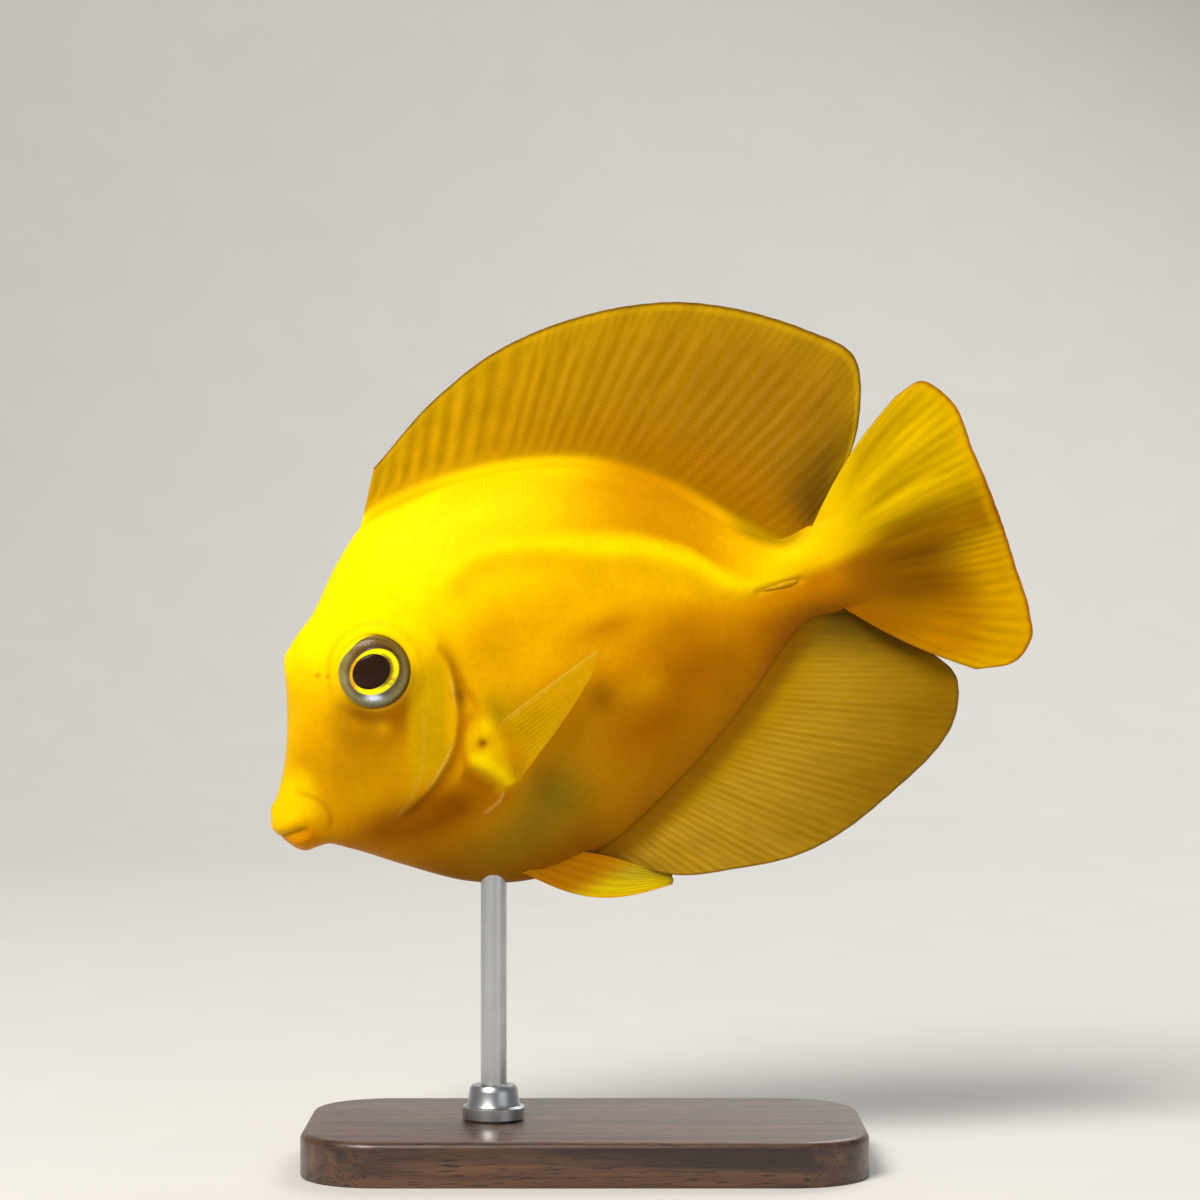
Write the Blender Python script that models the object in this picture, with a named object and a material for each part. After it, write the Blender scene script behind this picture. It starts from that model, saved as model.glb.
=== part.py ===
"""Chocolate surgeonfish in its yellow young coat: a life-size display model on a plain stand.

Sizes are in millimetres and MM turns them into Blender's metres.
The fish is modelled level, in its own frame: x runs from the snout to the tail, y to its right side
and z towards the back. The empty fish_pose then sets it nose down over the stand.
"""

import math

import bmesh
import bpy
import numpy as np
from mathutils import Matrix

MM = 0.001
GAP = 0.3                      # space kept between neighbouring pieces
NOSE_DOWN = math.radians(21)   # tilt of the swimming fish
SNOUT_HEIGHT = 40.0            # lip of the fish above the table
SNOUT_AHEAD = 36.0             # lip of the fish in front of the base's centre

# Upper profile without the fin: (x, z)
BACK = (
    (-0.5, -1.2),    # tip of the upper lip
    (-0.1, 0.1),
    (1.3, 1.8),      # top of the lip
    (4.0, 6.0),      # hollow of the snout
    (6.8, 13.2),
    (7.5, 15.7),     # brow
    (9.0, 17.4),
    (12.5, 19.8),
    (17.3, 24.3),
    (21.7, 27.4),    # nape, where the back fin starts
    (28.0, 28.4),
    (35.0, 28.1),
    (42.0, 26.8),
    (49.0, 24.1),
    (56.0, 18.6),
    (62.0, 11.6),
    (65.5, 9.0),     # narrowest part of the tail stalk
    (69.5, 8.9),     # root of the tail fin
)

# Lower profile without the fins: (x, z)
BELLY = (
    (-0.5, -1.4),
    (-0.1, -2.6),    # mouth
    (0.8, -4.2),
    (2.0, -5.1),     # chin
    (4.8, -5.4),
    (7.0, -6.8),     # throat
    (12.0, -10.7),
    (18.0, -15.0),
    (24.0, -17.4),   # breast
    (30.0, -17.9),
    (36.0, -16.9),   # start of the anal fin
    (42.0, -14.5),
    (50.0, -10.8),
    (58.0, -6.0),
    (63.0, -2.5),
    (66.0, -1.2),
    (69.5, -1.5),
)

# Height of the widest place: (x, z)
WAIST = ((-0.5, -1.3), (3.0, -1.8), (8.0, 0.6), (17.0, 3.8), (30.0, 4.2), (50.0, 5.0), (69.5, 3.7))

# Half of the fish's thickness: (x, half width)
THICKNESS = (
    (-0.5, 0.5), (0.0, 1.3), (1.2, 2.0), (3.0, 2.35), (5.5, 2.5), (8.0, 3.0), (12.0, 4.1),
    (17.0, 5.4), (22.0, 6.0), (28.0, 6.4), (34.0, 6.3), (42.0, 5.6), (50.0, 4.4), (58.0, 3.2),
    (64.0, 2.5), (69.5, 1.7),
)

# Shape of a ring of the body above and below its widest place, as (power, root):
# an ellipse, (2, 0.5), at the lips turns into these by the nape.
BACK_SECTION = (3.0, 0.78)
BELLY_SECTION = (2.4, 0.66)
SECTION_BLEND = (2.0, 24.0)    # x where the change starts and ends
NOSE = (-0.5, -1.3)            # foremost point of the lips

# Free edge of the gill cover, from the throat round to its upper end: (z, x)
GILL_EDGE = (
    (-5.8, 12.0), (-4.4, 16.2), (-3.3, 18.6), (-2.1, 20.3), (-0.6, 22.0), (1.9, 23.7),
    (4.4, 24.6), (6.7, 25.1), (9.3, 25.4), (11.7, 25.1), (13.4, 24.4),
)
GILL_CUT_ABOVE = ((21.3, 32.0), (21.6, 24.0), (22.4, 18.5), (23.5, 15.2))   # x, z up to the nape
GILL_CUT_BELOW = ((9.5, -6.4), (6.0, -7.2), (3.0, -8.4))                     # x, z down to the throat
GILL_STEP = 0.45               # how far the gill cover stands proud of the breast
GILL_DROP = 1.4                # length of the slope from its edge down to the breast
# Front edge of the gill cover, from the throat round to its top: (z, x)
CHEEK_EDGE = (
    (-6.3, 13.0), (-4.3, 15.4), (-2.9, 17.2), (-0.6, 18.8), (4.5, 20.9), (8.0, 21.9),
    (10.5, 22.6), (12.4, 23.5), (13.8, 24.9),
)
GILL_COVER_DEPTH = 1.3         # thickness of the gill cover

EYE_CENTRE = (17.3, 11.1)      # x, z
EYE_RADIUS = 4.3
EYE_THICKNESS = 2.4            # half of the eyeball's depth, sideways
EYE_POWER = 3                  # 2 is an ellipsoid; above it the eye is fuller towards its edge
EYE_MIDDLE = 3.9               # eyeball's middle from the fish's mid plane
EYE_SIDES = 24
RIM_RADIUS = 4.9               # raised rim of the socket
RIM_HEIGHT = 0.35
RIM_WIDTH = 0.7

MOUTH = ((-2.0, -2.8), (0.5, -2.9), (2.2, -3.0), (3.7, -3.0))    # x, z along the cleft
JAW_HINGE = ((4.5, -3.4), (4.9, -4.3), (5.0, -8.0))
LIP_ROLL = 0.35                # how far each lip swells outwards
LIP_REACH = 4.2                # where the lips end
LIP_MIDDLE = 1.2               # middle of each lip from the cleft
LIP_WIDTH = 0.8

NOSTRILS = ((10.9, 12.9, 0.45), (12.0, 12.4, 0.32))   # x, z, radius: front and rear
NOSTRIL_DEPTH = 0.7
NOSTRIL_SIDES = 10

PECTORAL_BASE = (26.3, -2.6)   # x, z of the fleshy fin base
PECTORAL_BASE_SIZE = (1.7, 3.9)
PECTORAL_BASE_HEIGHT = 0.7

# Fins, by a few of their rays from the front to the rear or from the top down:
# (x of the root, x of the tip, z of the tip, how far the ray bows upwards)
DORSAL_FIN = (
    (21.9, 25.2, 33.0, 0.0), (30.0, 35.1, 38.1, 0.0), (34.5, 41.6, 40.2, 0.0),
    (40.0, 49.6, 41.0, 0.0), (50.0, 66.3, 37.6, 0.0), (56.0, 77.0, 30.2, -0.3),
    (59.5, 81.3, 24.6, -0.5), (62.5, 79.0, 17.9, -0.5), (66.3, 74.0, 12.8, -0.2),
    (68.4, 71.6, 10.8, 0.0),
)
DORSAL_FIN_RAYS = 36
DORSAL_FIN_SPINES = 8          # the first rays are stiff and stand wider apart
DORSAL_SPINES_SHARE = 0.32     # share of the fin's length that they take
DORSAL_FIN_ROOT = 0.55         # half of the thickness at the root
ANAL_FIN = (
    (33.6, 35.0, -19.0, 0.0), (36.5, 40.5, -22.9, 0.0), (40.0, 47.5, -24.9, 0.0),
    (44.0, 55.5, -26.0, 0.0), (50.0, 67.4, -23.2, 0.0), (55.5, 77.0, -18.2, 0.0),
    (58.5, 78.9, -13.6, 0.0), (61.5, 77.2, -9.0, 0.0), (67.2, 70.6, -2.6, 0.0),
)
ANAL_FIN_RAYS = 28
ANAL_FIN_TURN = 0.9            # how far its rear lobe swings to the fish's right
ANAL_FIN_ROOT = 0.5            # half of the thickness at the root
# (z of the root, x of the tip, z of the tip, how far the ray bows upwards)
TAIL_FIN = (
    (8.7, 85.6, 19.6, 1.1), (8.2, 88.1, 19.1, 1.1), (7.4, 89.4, 16.3, 1.1), (5.7, 89.6, 10.0, 0.6),
    (3.7, 89.8, 2.5, 0.0), (1.5, 89.7, -4.0, -0.7), (-0.2, 88.9, -10.2, -1.3),
    (-1.3, 84.9, -13.9, -2.2),
)
TAIL_FIN_RAYS = 17
TAIL_FIN_FOLD = 1.7            # sideways fold across the rear edge
TAIL_FIN_ROOT = (0.5, 1.4)     # half of the thickness at the root: at its ends and in its middle
# (z of the root, x of the tip, z of the tip, how far the ray bows upwards)
PECTORAL_FIN = (
    (1.0, 41.8, 4.7, -1.0), (-0.6, 40.4, 2.2, -0.8), (-2.4, 37.9, 0.3, -0.6),
    (-4.2, 34.6, -1.9, -0.4), (-6.0, 31.2, -4.2, -0.2), (-7.0, 28.9, -5.8, 0.0),
)
PECTORAL_FIN_RAYS = 16
PECTORAL_ROOT_X = 26.9
PECTORAL_ROOT_DEPTH = 1.2      # root sunk in the flesh before it is cut clear
PECTORAL_CLEAR = 0.7           # fin's distance from the flank just behind the root
PECTORAL_CLEAR_LENGTH = 1.6    # how far behind the root it is reached
PECTORAL_LIFT = 2.6            # tip's distance from the flank
# (x of the root, x of the tip, z of the tip, how far the ray bows upwards)
PELVIC_FIN = (
    (24.6, 40.2, -23.4, -2.0), (27.0, 40.4, -23.0, -1.3), (29.4, 40.0, -22.6, -0.5),
    (31.4, 38.6, -21.5, 0.3),
)
PELVIC_FIN_RAYS = 6
PELVIC_ROOT_Z = -16.4
PELVIC_ROOT_Y = 1.0
PELVIC_SPREAD = 1.9            # tip's distance out from its root, sideways
PAIRED_FIN_ROOT = 0.55         # half of the thickness at the root
MEMBRANE = 0.5                 # thickness of the skin between two rays
RAY_RIDGE = 0.2                # how far a ray stands out of it on each face
FIN_NOTCH = 0.006              # share of a ray's length that the skin between two rays falls short
FIN_STEPS = (0.0, 0.15, 0.45, 0.75, 1.0)   # points along a ray
PAIRED_FIN_STEPS = (0.0, 0.12, 0.3, 0.6, 1.0)

TAIL_CUT_X = 60.0              # where the trunk ends and the tail stalk starts
TAIL_CUT_BOW = 1.2             # how far the seam there bows backwards
TAIL_CUT_Z = (-8.0, 18.0)      # lower and upper end of the cut, outside the body
TAIL_ROOT_X = 69.5
TAIL_SPINE = ((61.6, 3.9), (65.9, 3.5))   # x, z of the point and the hinge of each folded blade
TAIL_SPINE_HEIGHT = 0.9
TAIL_SPINE_PROUD = 0.35        # how far it stands out of the skin
TAIL_SPINE_SUNK = 0.7          # how deep it lies in its slot
TAIL_SPINE_TAPER = 1.6         # length of its point

BEND_START_X = 48.0            # behind this the fish bends towards its left side
BEND = 0.0025

FLESH_PIECES = 6               # head, jaw, two gill covers, trunk and tail stalk
AROUND = 10                    # points in each quarter of a body ring
RING_CROWD = 1.6               # above 1 it crowds them at the back and belly
OUTSIDE = 12.0                 # a distance from the mid plane that is past every part of the skin

STAND_BASE = (64.0, 34.0, 5.0)
STAND_CORNER = 9.0             # radius of its corners
STAND_EDGE = 0.8               # rounding of its upper edge
ROD_RADIUS = 1.5
ROD_X = -10.5                  # rod's place along the base
COLLAR_RADIUS = 3.6
COLLAR_HEIGHT = 4.0
COLLAR_LIP = 1.6               # height of its straight foot
COLLAR_TOP = 0.9               # width of its upper rim
ROUND_SIDES = 20
ROD_FOOT = 2.0                 # rod's lower end, inside the base


def smooth_curve(knots):
    """A curve through (x, y) knots, as a function of x."""
    xs, ys = (np.array(column, float) for column in zip(*knots))
    slopes = np.gradient(ys, xs)

    def at(x):
        i = int(np.clip(np.searchsorted(xs, x) - 1, 0, len(xs) - 2))
        span = xs[i + 1] - xs[i]
        t = min(max((x - xs[i]) / span, 0.0), 1.0)
        start = (1 + 2 * t) * (1 - t) ** 2 * ys[i] + t * (1 - t) ** 2 * span * slopes[i]
        end = t * t * (3 - 2 * t) * ys[i + 1] + t * t * (t - 1) * span * slopes[i + 1]
        return start + end

    return at


back, belly, waist = smooth_curve(BACK), smooth_curve(BELLY), smooth_curve(WAIST)
thickness, gill_edge = smooth_curve(THICKNESS), smooth_curve(GILL_EDGE)
cheek_edge = smooth_curve(CHEEK_EDGE)


def blend(x, low, high):
    """0 below low, 1 above high and a smooth step between."""
    t = min(max((x - low) / (high - low), 0.0), 1.0)
    return t * t * (3 - 2 * t)


def bend(x):
    """Sideways shift of the tail end, towards the fish's left."""
    return -BEND * max(0.0, x - BEND_START_X) ** 2


def behind_gill(x, z):
    """Distance behind the free edge of the gill cover, and 0 to 1 for how near its height is."""
    z_low, z_high = GILL_EDGE[0][0], GILL_EDGE[-1][0]
    held = min(max(z, z_low), z_high)
    slope = (gill_edge(held + 0.1) - gill_edge(held - 0.1)) / 0.2
    distance = (x - gill_edge(held)) / math.hypot(1, slope)
    near = blend(z, z_low - 1.5, z_low) * (1 - blend(z, z_high, z_high + 2.5))
    return distance, near


def relief(x, z):
    """How far the skin stands out from the plain body at a point of the side view."""
    distance, near = behind_gill(x, z)
    plate = math.exp(distance / 5) if distance < 0 else max(0.0, 1 - distance / GILL_DROP)
    height = GILL_STEP * near * plate
    from_eye = math.hypot(x - EYE_CENTRE[0], z - EYE_CENTRE[1])
    height += RIM_HEIGHT * math.exp(-(((from_eye - RIM_RADIUS) / RIM_WIDTH) ** 2))
    across = (x - PECTORAL_BASE[0]) / PECTORAL_BASE_SIZE[0]
    along = (z - PECTORAL_BASE[1]) / PECTORAL_BASE_SIZE[1]
    height += PECTORAL_BASE_HEIGHT * math.exp(-(across**2) - along**2)
    from_lip = (abs(z - MOUTH[1][1]) - LIP_MIDDLE) / LIP_WIDTH
    height += LIP_ROLL * math.exp(-(from_lip**2)) * (1 - blend(x, LIP_REACH - 1.2, LIP_REACH))
    return height


def section(x, rise):
    """Share of the half width left at a share of the way up (above 0) or down to the profile."""
    sharp = blend(x, *SECTION_BLEND)
    power, root = BACK_SECTION if rise > 0 else BELLY_SECTION
    power, root = 2 + (power - 2) * sharp, 0.5 + (root - 0.5) * sharp
    return max(0.0, 1 - abs(rise) ** power) ** root


def plain_width(x, z, grow=0.0):
    """Share of the thickness left at a point of the side view, and its distance from the mid plane."""
    middle = waist(x)
    reach = back(x) + grow - middle if z > middle else middle - belly(x) + grow
    share = section(x, min(max((z - middle) / reach, -1.0), 1.0))
    return share, (thickness(x) + grow) * share


def half_width(x, z, grow=0.0):
    """Distance from the mid plane to the skin at a point of the side view."""
    share, plain = plain_width(x, z, grow)
    return plain + relief(x, z) * min(1.0, 3 * share)


def ring(x, grow=0.0):
    """One closed ring of skin points, from the back down the right side and up the left."""
    middle = waist(x)
    rises = [1 - (i / AROUND) ** RING_CROWD for i in range(AROUND + 1)]
    rises += [-1 + (1 - i / AROUND) ** RING_CROWD for i in range(1, AROUND + 1)]
    right = []
    for rise in rises:
        reach = back(x) + grow - middle if rise > 0 else middle - belly(x) + grow
        z = middle + rise * reach
        right.append((half_width(x, z, grow), z))
    left = [(-y, z) for y, z in right[-2:0:-1]]
    return [(x, y + bend(x), z) for y, z in right + left]


def body_stations():
    """Ring places along the body: close at the lips and head, wider apart on the trunk."""
    lips = [-0.45, -0.3, 0.0, 0.5, 1.1, 1.8, 2.6, 3.5]
    head = list(np.linspace(4.5, 27.5, 23))
    trunk = list(np.linspace(29.2, 58.8, 16))
    stalk = list(np.linspace(60.6, TAIL_ROOT_X, 8))
    return lips + head + trunk + stalk


def finished(name, edit, look=None):
    """A mesh object from an edit mesh in millimetres, with its faces turned outwards."""
    bmesh.ops.recalc_face_normals(edit, faces=edit.faces)
    bmesh.ops.scale(edit, vec=(MM, MM, MM), verts=edit.verts)
    mesh = bpy.data.meshes.new(name)
    edit.to_mesh(mesh)
    edit.free()
    made = bpy.data.objects.new(name, mesh)
    bpy.context.scene.collection.objects.link(made)
    if look:
        mesh.materials.append(look)
    return made


def new_object(name, points, faces, look=None):
    """A mesh object from points in millimetres and the faces between them."""
    edit = bmesh.new()
    corners = [edit.verts.new(point) for point in points]
    for face in faces:
        edit.faces.new([corners[i] for i in face])
    return finished(name, edit, look)


def body_loft(name, grow=0.0):
    """The whole fish without its fins, as one closed skin. With grow it stands out by that much."""
    rings = [ring(x, grow) for x in body_stations()]
    if grow:
        rings[-1] = [(x + grow, y, z) for x, y, z in rings[-1]]
    points = [p for loop in rings for p in loop]
    count = len(rings[0])
    faces = []
    for row in range(len(rings) - 1):
        for i in range(count):
            a, b = row * count + i, row * count + (i + 1) % count
            faces += [(a, b, b + count), (a, b + count, a + count)]
    points.append((NOSE[0] - grow, 0.0, NOSE[1]))
    faces += [(i, (i + 1) % count, len(points) - 1) for i in range(count)]
    last = (len(rings) - 1) * count
    faces.append(tuple(range(last, last + count)))
    return new_object(name, points, faces)


def closed_sheet(name, points, columns, rows, look=None):
    """A thin solid from two grids of points, one for each face, split into triangles alike."""
    grid = np.arange(2 * rows * columns).reshape(2, columns, rows)
    faces = []
    for sheet in grid:
        for i in range(columns - 1):
            for j in range(rows - 1):
                a, b, c, d = sheet[i, j], sheet[i + 1, j], sheet[i + 1, j + 1], sheet[i, j + 1]
                faces += [(a, b, c), (a, c, d)]
    rim = [(i, 0) for i in range(columns)] + [(columns - 1, j) for j in range(1, rows)]
    rim += [(i, rows - 1) for i in range(columns - 2, -1, -1)]
    rim += [(0, j) for j in range(rows - 2, 0, -1)]
    for (i, j), (k, m) in zip(rim, rim[1:] + rim[:1]):
        a, b, c, d = grid[0, i, j], grid[0, k, m], grid[1, k, m], grid[1, i, j]
        faces += [(a, b, c), (a, c, d)]
    faces = [tuple(int(corner) for corner in face) for face in faces]
    return new_object(name, points, faces, look)


def prism(name, outline, y_low, y_high, look=None):
    """A solid with an outline in the side view, from y_low to y_high."""
    count = len(outline)
    points = [(x, y, z) for y in (y_low, y_high) for x, z in outline]
    faces = [tuple(range(count)), tuple(range(count, 2 * count))]
    faces += [(i, (i + 1) % count, count + (i + 1) % count, count + i) for i in range(count)]
    return new_object(name, points, faces, look)


def ribbon(name, path):
    """A wall as thin as the gap, along a path in the side view: the cutter between two pieces."""
    path = np.array(path, float)
    along = np.gradient(path, axis=0)
    normal = np.stack([-along[:, 1], along[:, 0]], 1) / np.linalg.norm(along, axis=1)[:, None]
    outline = [*(path + normal * GAP / 2), *(path - normal * GAP / 2)[::-1]]
    return prism(name, outline, -OUTSIDE, OUTSIDE)


def cut(target, cutter):
    """Cuts the cutter out of the target, and removes the cutter."""
    modifier = target.modifiers.new("cut", "BOOLEAN")
    modifier.operation = "DIFFERENCE"
    modifier.object = cutter
    graph = bpy.context.evaluated_depsgraph_get()
    mesh = bpy.data.meshes.new_from_object(target.evaluated_get(graph))
    target.modifiers.remove(modifier)
    target.data = mesh
    bpy.data.objects.remove(cutter)


def connected_parts(mesh):
    """The mesh's separate closed surfaces as (volume, points, faces), largest first."""
    edit = bmesh.new()
    edit.from_mesh(mesh)
    edit.faces.ensure_lookup_table()
    seen, parts = set(), []
    for start in edit.faces:
        if start.index in seen:
            continue
        seen.add(start.index)
        group, waiting = [], [start]
        while waiting:
            face = waiting.pop()
            group.append(face)
            for edge in face.edges:
                for other in edge.link_faces:
                    if other.index not in seen:
                        seen.add(other.index)
                        waiting.append(other)
        corners = {}
        for face in group:
            for corner in face.verts:
                corners.setdefault(corner, len(corners))
        points = [tuple(c / MM for c in v.co) for v in corners]
        faces = [tuple(corners[v] for v in f.verts) for f in group]
        volume = 0.0
        for face in faces:
            for i in range(1, len(face) - 1):
                triangle = [points[face[0]], points[face[i]], points[face[i + 1]]]
                volume += np.linalg.det(np.array(triangle)) / 6
        parts.append((abs(volume), points, faces))
    edit.free()
    return sorted(parts, key=lambda part: -part[0])


def keep_largest(made):
    """Drops what a cut left loose."""
    _, points, faces = connected_parts(made.data)[0]
    trimmed = new_object("trimmed", points, faces, made.data.materials[0])
    made.data = trimmed.data
    bpy.data.objects.remove(trimmed)


def finish(name, colour, roughness, metallic=0.0):
    """A material with a linear colour, a roughness and a metallic value."""
    made = bpy.data.materials.new(name)
    made.use_nodes = True
    shader = made.node_tree.nodes["Principled BSDF"]
    shader.inputs["Base Color"].default_value = (*colour, 1.0)
    shader.inputs["Roughness"].default_value = roughness
    shader.inputs["Metallic"].default_value = metallic
    return made


def eyeball(name, side, grow=0.0, look=None):
    """A flattened ball whose poles point sideways. With grow it is the socket round it."""
    edit = bmesh.new()
    bmesh.ops.create_uvsphere(edit, u_segments=EYE_SIDES, v_segments=EYE_SIDES // 2, radius=1.0)
    bmesh.ops.rotate(edit, matrix=Matrix.Rotation(math.pi / 2, 3, "X"), verts=edit.verts)
    for corner in edit.verts:
        from_axis = math.hypot(corner.co.x, corner.co.z)
        if from_axis > 0.01:
            fuller = (1 - abs(corner.co.y) ** EYE_POWER) ** (1 / EYE_POWER) / from_axis
            corner.co.x, corner.co.z = corner.co.x * fuller, corner.co.z * fuller
    radius, depth = EYE_RADIUS + grow, EYE_THICKNESS + grow
    bmesh.ops.scale(edit, vec=(radius, depth, radius), verts=edit.verts)
    x, z = EYE_CENTRE
    bmesh.ops.translate(edit, vec=(x, side * EYE_MIDDLE, z), verts=edit.verts)
    return finished(name, edit, look)


def gill_path():
    """Side-view path of the head's rear edge, from above the nape to below the throat."""
    heights = np.linspace(GILL_EDGE[-1][0], GILL_EDGE[0][0], 22)
    return [*GILL_CUT_ABOVE, *((gill_edge(z), z) for z in heights), *GILL_CUT_BELOW]


def gill_cover_floor(side):
    """The thin slot under a gill cover, which follows the skin from the cheek to the free edge."""
    low, high = CHEEK_EDGE[0][0], CHEEK_EDGE[-1][0]
    covered = [z for z in np.linspace(low, high, 900) if cheek_edge(z) < gill_edge(z) - GAP / 2]
    heights = np.linspace(covered[0], covered[-1], 30)
    points = []
    for depth in (GILL_COVER_DEPTH, GILL_COVER_DEPTH + GAP):
        for z in heights:
            for x in np.linspace(cheek_edge(z) - 0.1, gill_edge(z) + 0.12, 3):
                points.append((x, side * (plain_width(x, z)[1] - depth), z))
    return closed_sheet("gill_cover_floor", points, len(heights), 3)


def cut_gill_covers(body):
    """Parts the two gill covers from the head: a wall along the cheek and a floor under them."""
    heights = np.linspace(CHEEK_EDGE[0][0], CHEEK_EDGE[-1][0], 30)
    for side in (-1, 1):
        wall = []
        for shift in (-GAP / 2, GAP / 2):
            for z in heights:
                x = cheek_edge(z)
                inner = plain_width(x, z)[1] - GILL_COVER_DEPTH - GAP
                wall += [(x + shift, side * inner, z), (x + shift, side * OUTSIDE, z)]
        cut(body, closed_sheet("cheek_cut", wall, len(heights), 2))
        cut(body, gill_cover_floor(side))


def name_of_flesh(points):
    """Which piece of the parted body this is, by its middle."""
    x, y, _ = np.mean(points, axis=0)
    if x < JAW_HINGE[-1][0]:
        return "lower_jaw"
    if abs(y) > GILL_COVER_DEPTH:
        return "gill_cover_left" if y < 0 else "gill_cover_right"
    if x > TAIL_CUT_X:
        return "tail_stalk"
    return "head" if x < GILL_CUT_ABOVE[0][0] else "trunk"


def build_flesh(skin):
    """Head, jaw, gill covers, trunk and tail stalk, parted by thin cuts from one body."""
    body = body_loft("body")
    cut_gill_covers(body)
    cut(body, ribbon("gill_cut", gill_path()))
    cut(body, ribbon("jaw_cut", MOUTH + JAW_HINGE))
    turns = np.linspace(-math.pi / 2, math.pi / 2, 9)
    heights = np.linspace(*TAIL_CUT_Z, 9)
    seam = [(TAIL_CUT_X + TAIL_CUT_BOW * math.cos(a), z) for a, z in zip(turns, heights)]
    cut(body, ribbon("stalk_cut", seam))
    flesh = {}
    for _, points, faces in connected_parts(body.data)[:FLESH_PIECES]:
        name = name_of_flesh(points)
        flesh[name] = new_object(name, points, faces, skin)
    bpy.data.objects.remove(body)
    return flesh


def build_eyes(head, look):
    """Two flattened eyeballs, each in a socket of the head."""
    for side, name in ((-1, "eye_left"), (1, "eye_right")):
        cut(head, eyeball("socket", side, GAP))
        eyeball(name, side, 0.0, look)


def cut_nostrils(head):
    """A front and a rear nostril on each side, as small round pits ahead of the eye."""
    for x, z, radius in NOSTRILS:
        skin_y = half_width(x, z)
        circle = [
            (x + radius * math.cos(a), z + radius * math.sin(a))
            for a in np.linspace(0, 2 * math.pi, NOSTRIL_SIDES, endpoint=False)
        ]
        for side in (-1, 1):
            depth = sorted([side * (skin_y - NOSTRIL_DEPTH), side * OUTSIDE])
            cut(head, prism("nostril", circle, *depth))


def spine_outline(grow):
    """Side view of a folded tail spine: a blade with its point to the front and a round hinge end."""
    (tip_x, tip_z), (end_x, end_z) = TAIL_SPINE
    half = TAIL_SPINE_HEIGHT / 2 + grow
    shoulder, heel = tip_x + TAIL_SPINE_TAPER, end_x - half / 2
    return [
        (tip_x - grow, tip_z), (shoulder, tip_z - half), (heel, end_z - half),
        (end_x + grow, end_z - half / 2), (end_x + grow, end_z + half / 2),
        (heel, end_z + half), (shoulder, tip_z + half),
    ]


def build_tail_spines(stalk, look):
    """The blade on each side of the tail stalk, lying in its slot."""
    middle_x = (TAIL_SPINE[0][0] + TAIL_SPINE[1][0]) / 2
    for side, name in ((-1, "tail_spine_left"), (1, "tail_spine_right")):
        skin_y = side * half_width(middle_x, TAIL_SPINE[0][1]) + bend(middle_x)
        inner = skin_y - side * TAIL_SPINE_SUNK
        slot = sorted([inner - side * GAP, side * OUTSIDE])
        blade = sorted([inner, skin_y + side * TAIL_SPINE_PROUD])
        cut(stalk, prism("slot", spine_outline(GAP), *slot))
        prism(name, spine_outline(0.0), *blade, look)


def along_profile(curve, side):
    """A root just off the back or belly, as a function of x."""

    def at(x):
        slope = (curve(x + 0.2) - curve(x - 0.2)) / 0.4
        length = math.hypot(1, slope)
        return x - side * GAP * slope / length, curve(x) + side * GAP / length

    return at


def fin_rays(keys, root_point, count, spines=0, spines_share=0.0):
    """Root, tip and bow of each ray and of the skin between two rays, in order along the fin."""
    roots = [root_point(key[0]) for key in keys]
    steps = np.cumsum([0.0] + [math.dist(a, b) for a, b in zip(roots, roots[1:])])
    curves = [smooth_curve(list(zip(steps / steps[-1], column))) for column in zip(*keys)]
    shares = np.linspace(0, spines_share, 2 * spines + 1)[:-1]
    shares = [*shares, *np.linspace(spines_share, 1, 2 * (count - spines) - 1)]
    rays = []
    for share in shares:
        root, tip_x, tip_z, bow = (curve(share) for curve in curves)
        rays.append((np.array(root_point(root)), np.array((tip_x, tip_z)), bow))
    return rays


def build_fin(name, rays, sway, root_half, look, steps=FIN_STEPS):
    """A thin fin ruled between its root and its free edge, with its rays raised on both faces.

    sway(x, z, share, out) is the sideways place of the fin's middle: share along the root, and
    out along the ray. root_half(share) is half of the thickness at the root.
    """
    points = []
    for face in (-1, 1):
        for i, (root, tip, bow) in enumerate(rays):
            share = i / (len(rays) - 1)
            on_ray = i % 2 == 0
            reach = tip - root
            length = np.linalg.norm(reach)
            upwards = np.array((-reach[1], reach[0])) / length
            for step in steps:
                out = step if on_ray else step * (1 - FIN_NOTCH)
                x, z = root + reach * out + upwards * bow * math.sin(math.pi * out)
                half = MEMBRANE / 2 + (RAY_RIDGE * (1 - 0.5 * out) if on_ray else 0)
                fade = math.exp(-out * length / 2)
                half += max(0.0, root_half(share) - half) * fade
                points.append((x, sway(x, z, share, out) + face * half, z))
    return closed_sheet(name, points, len(rays), len(steps), look)


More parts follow.
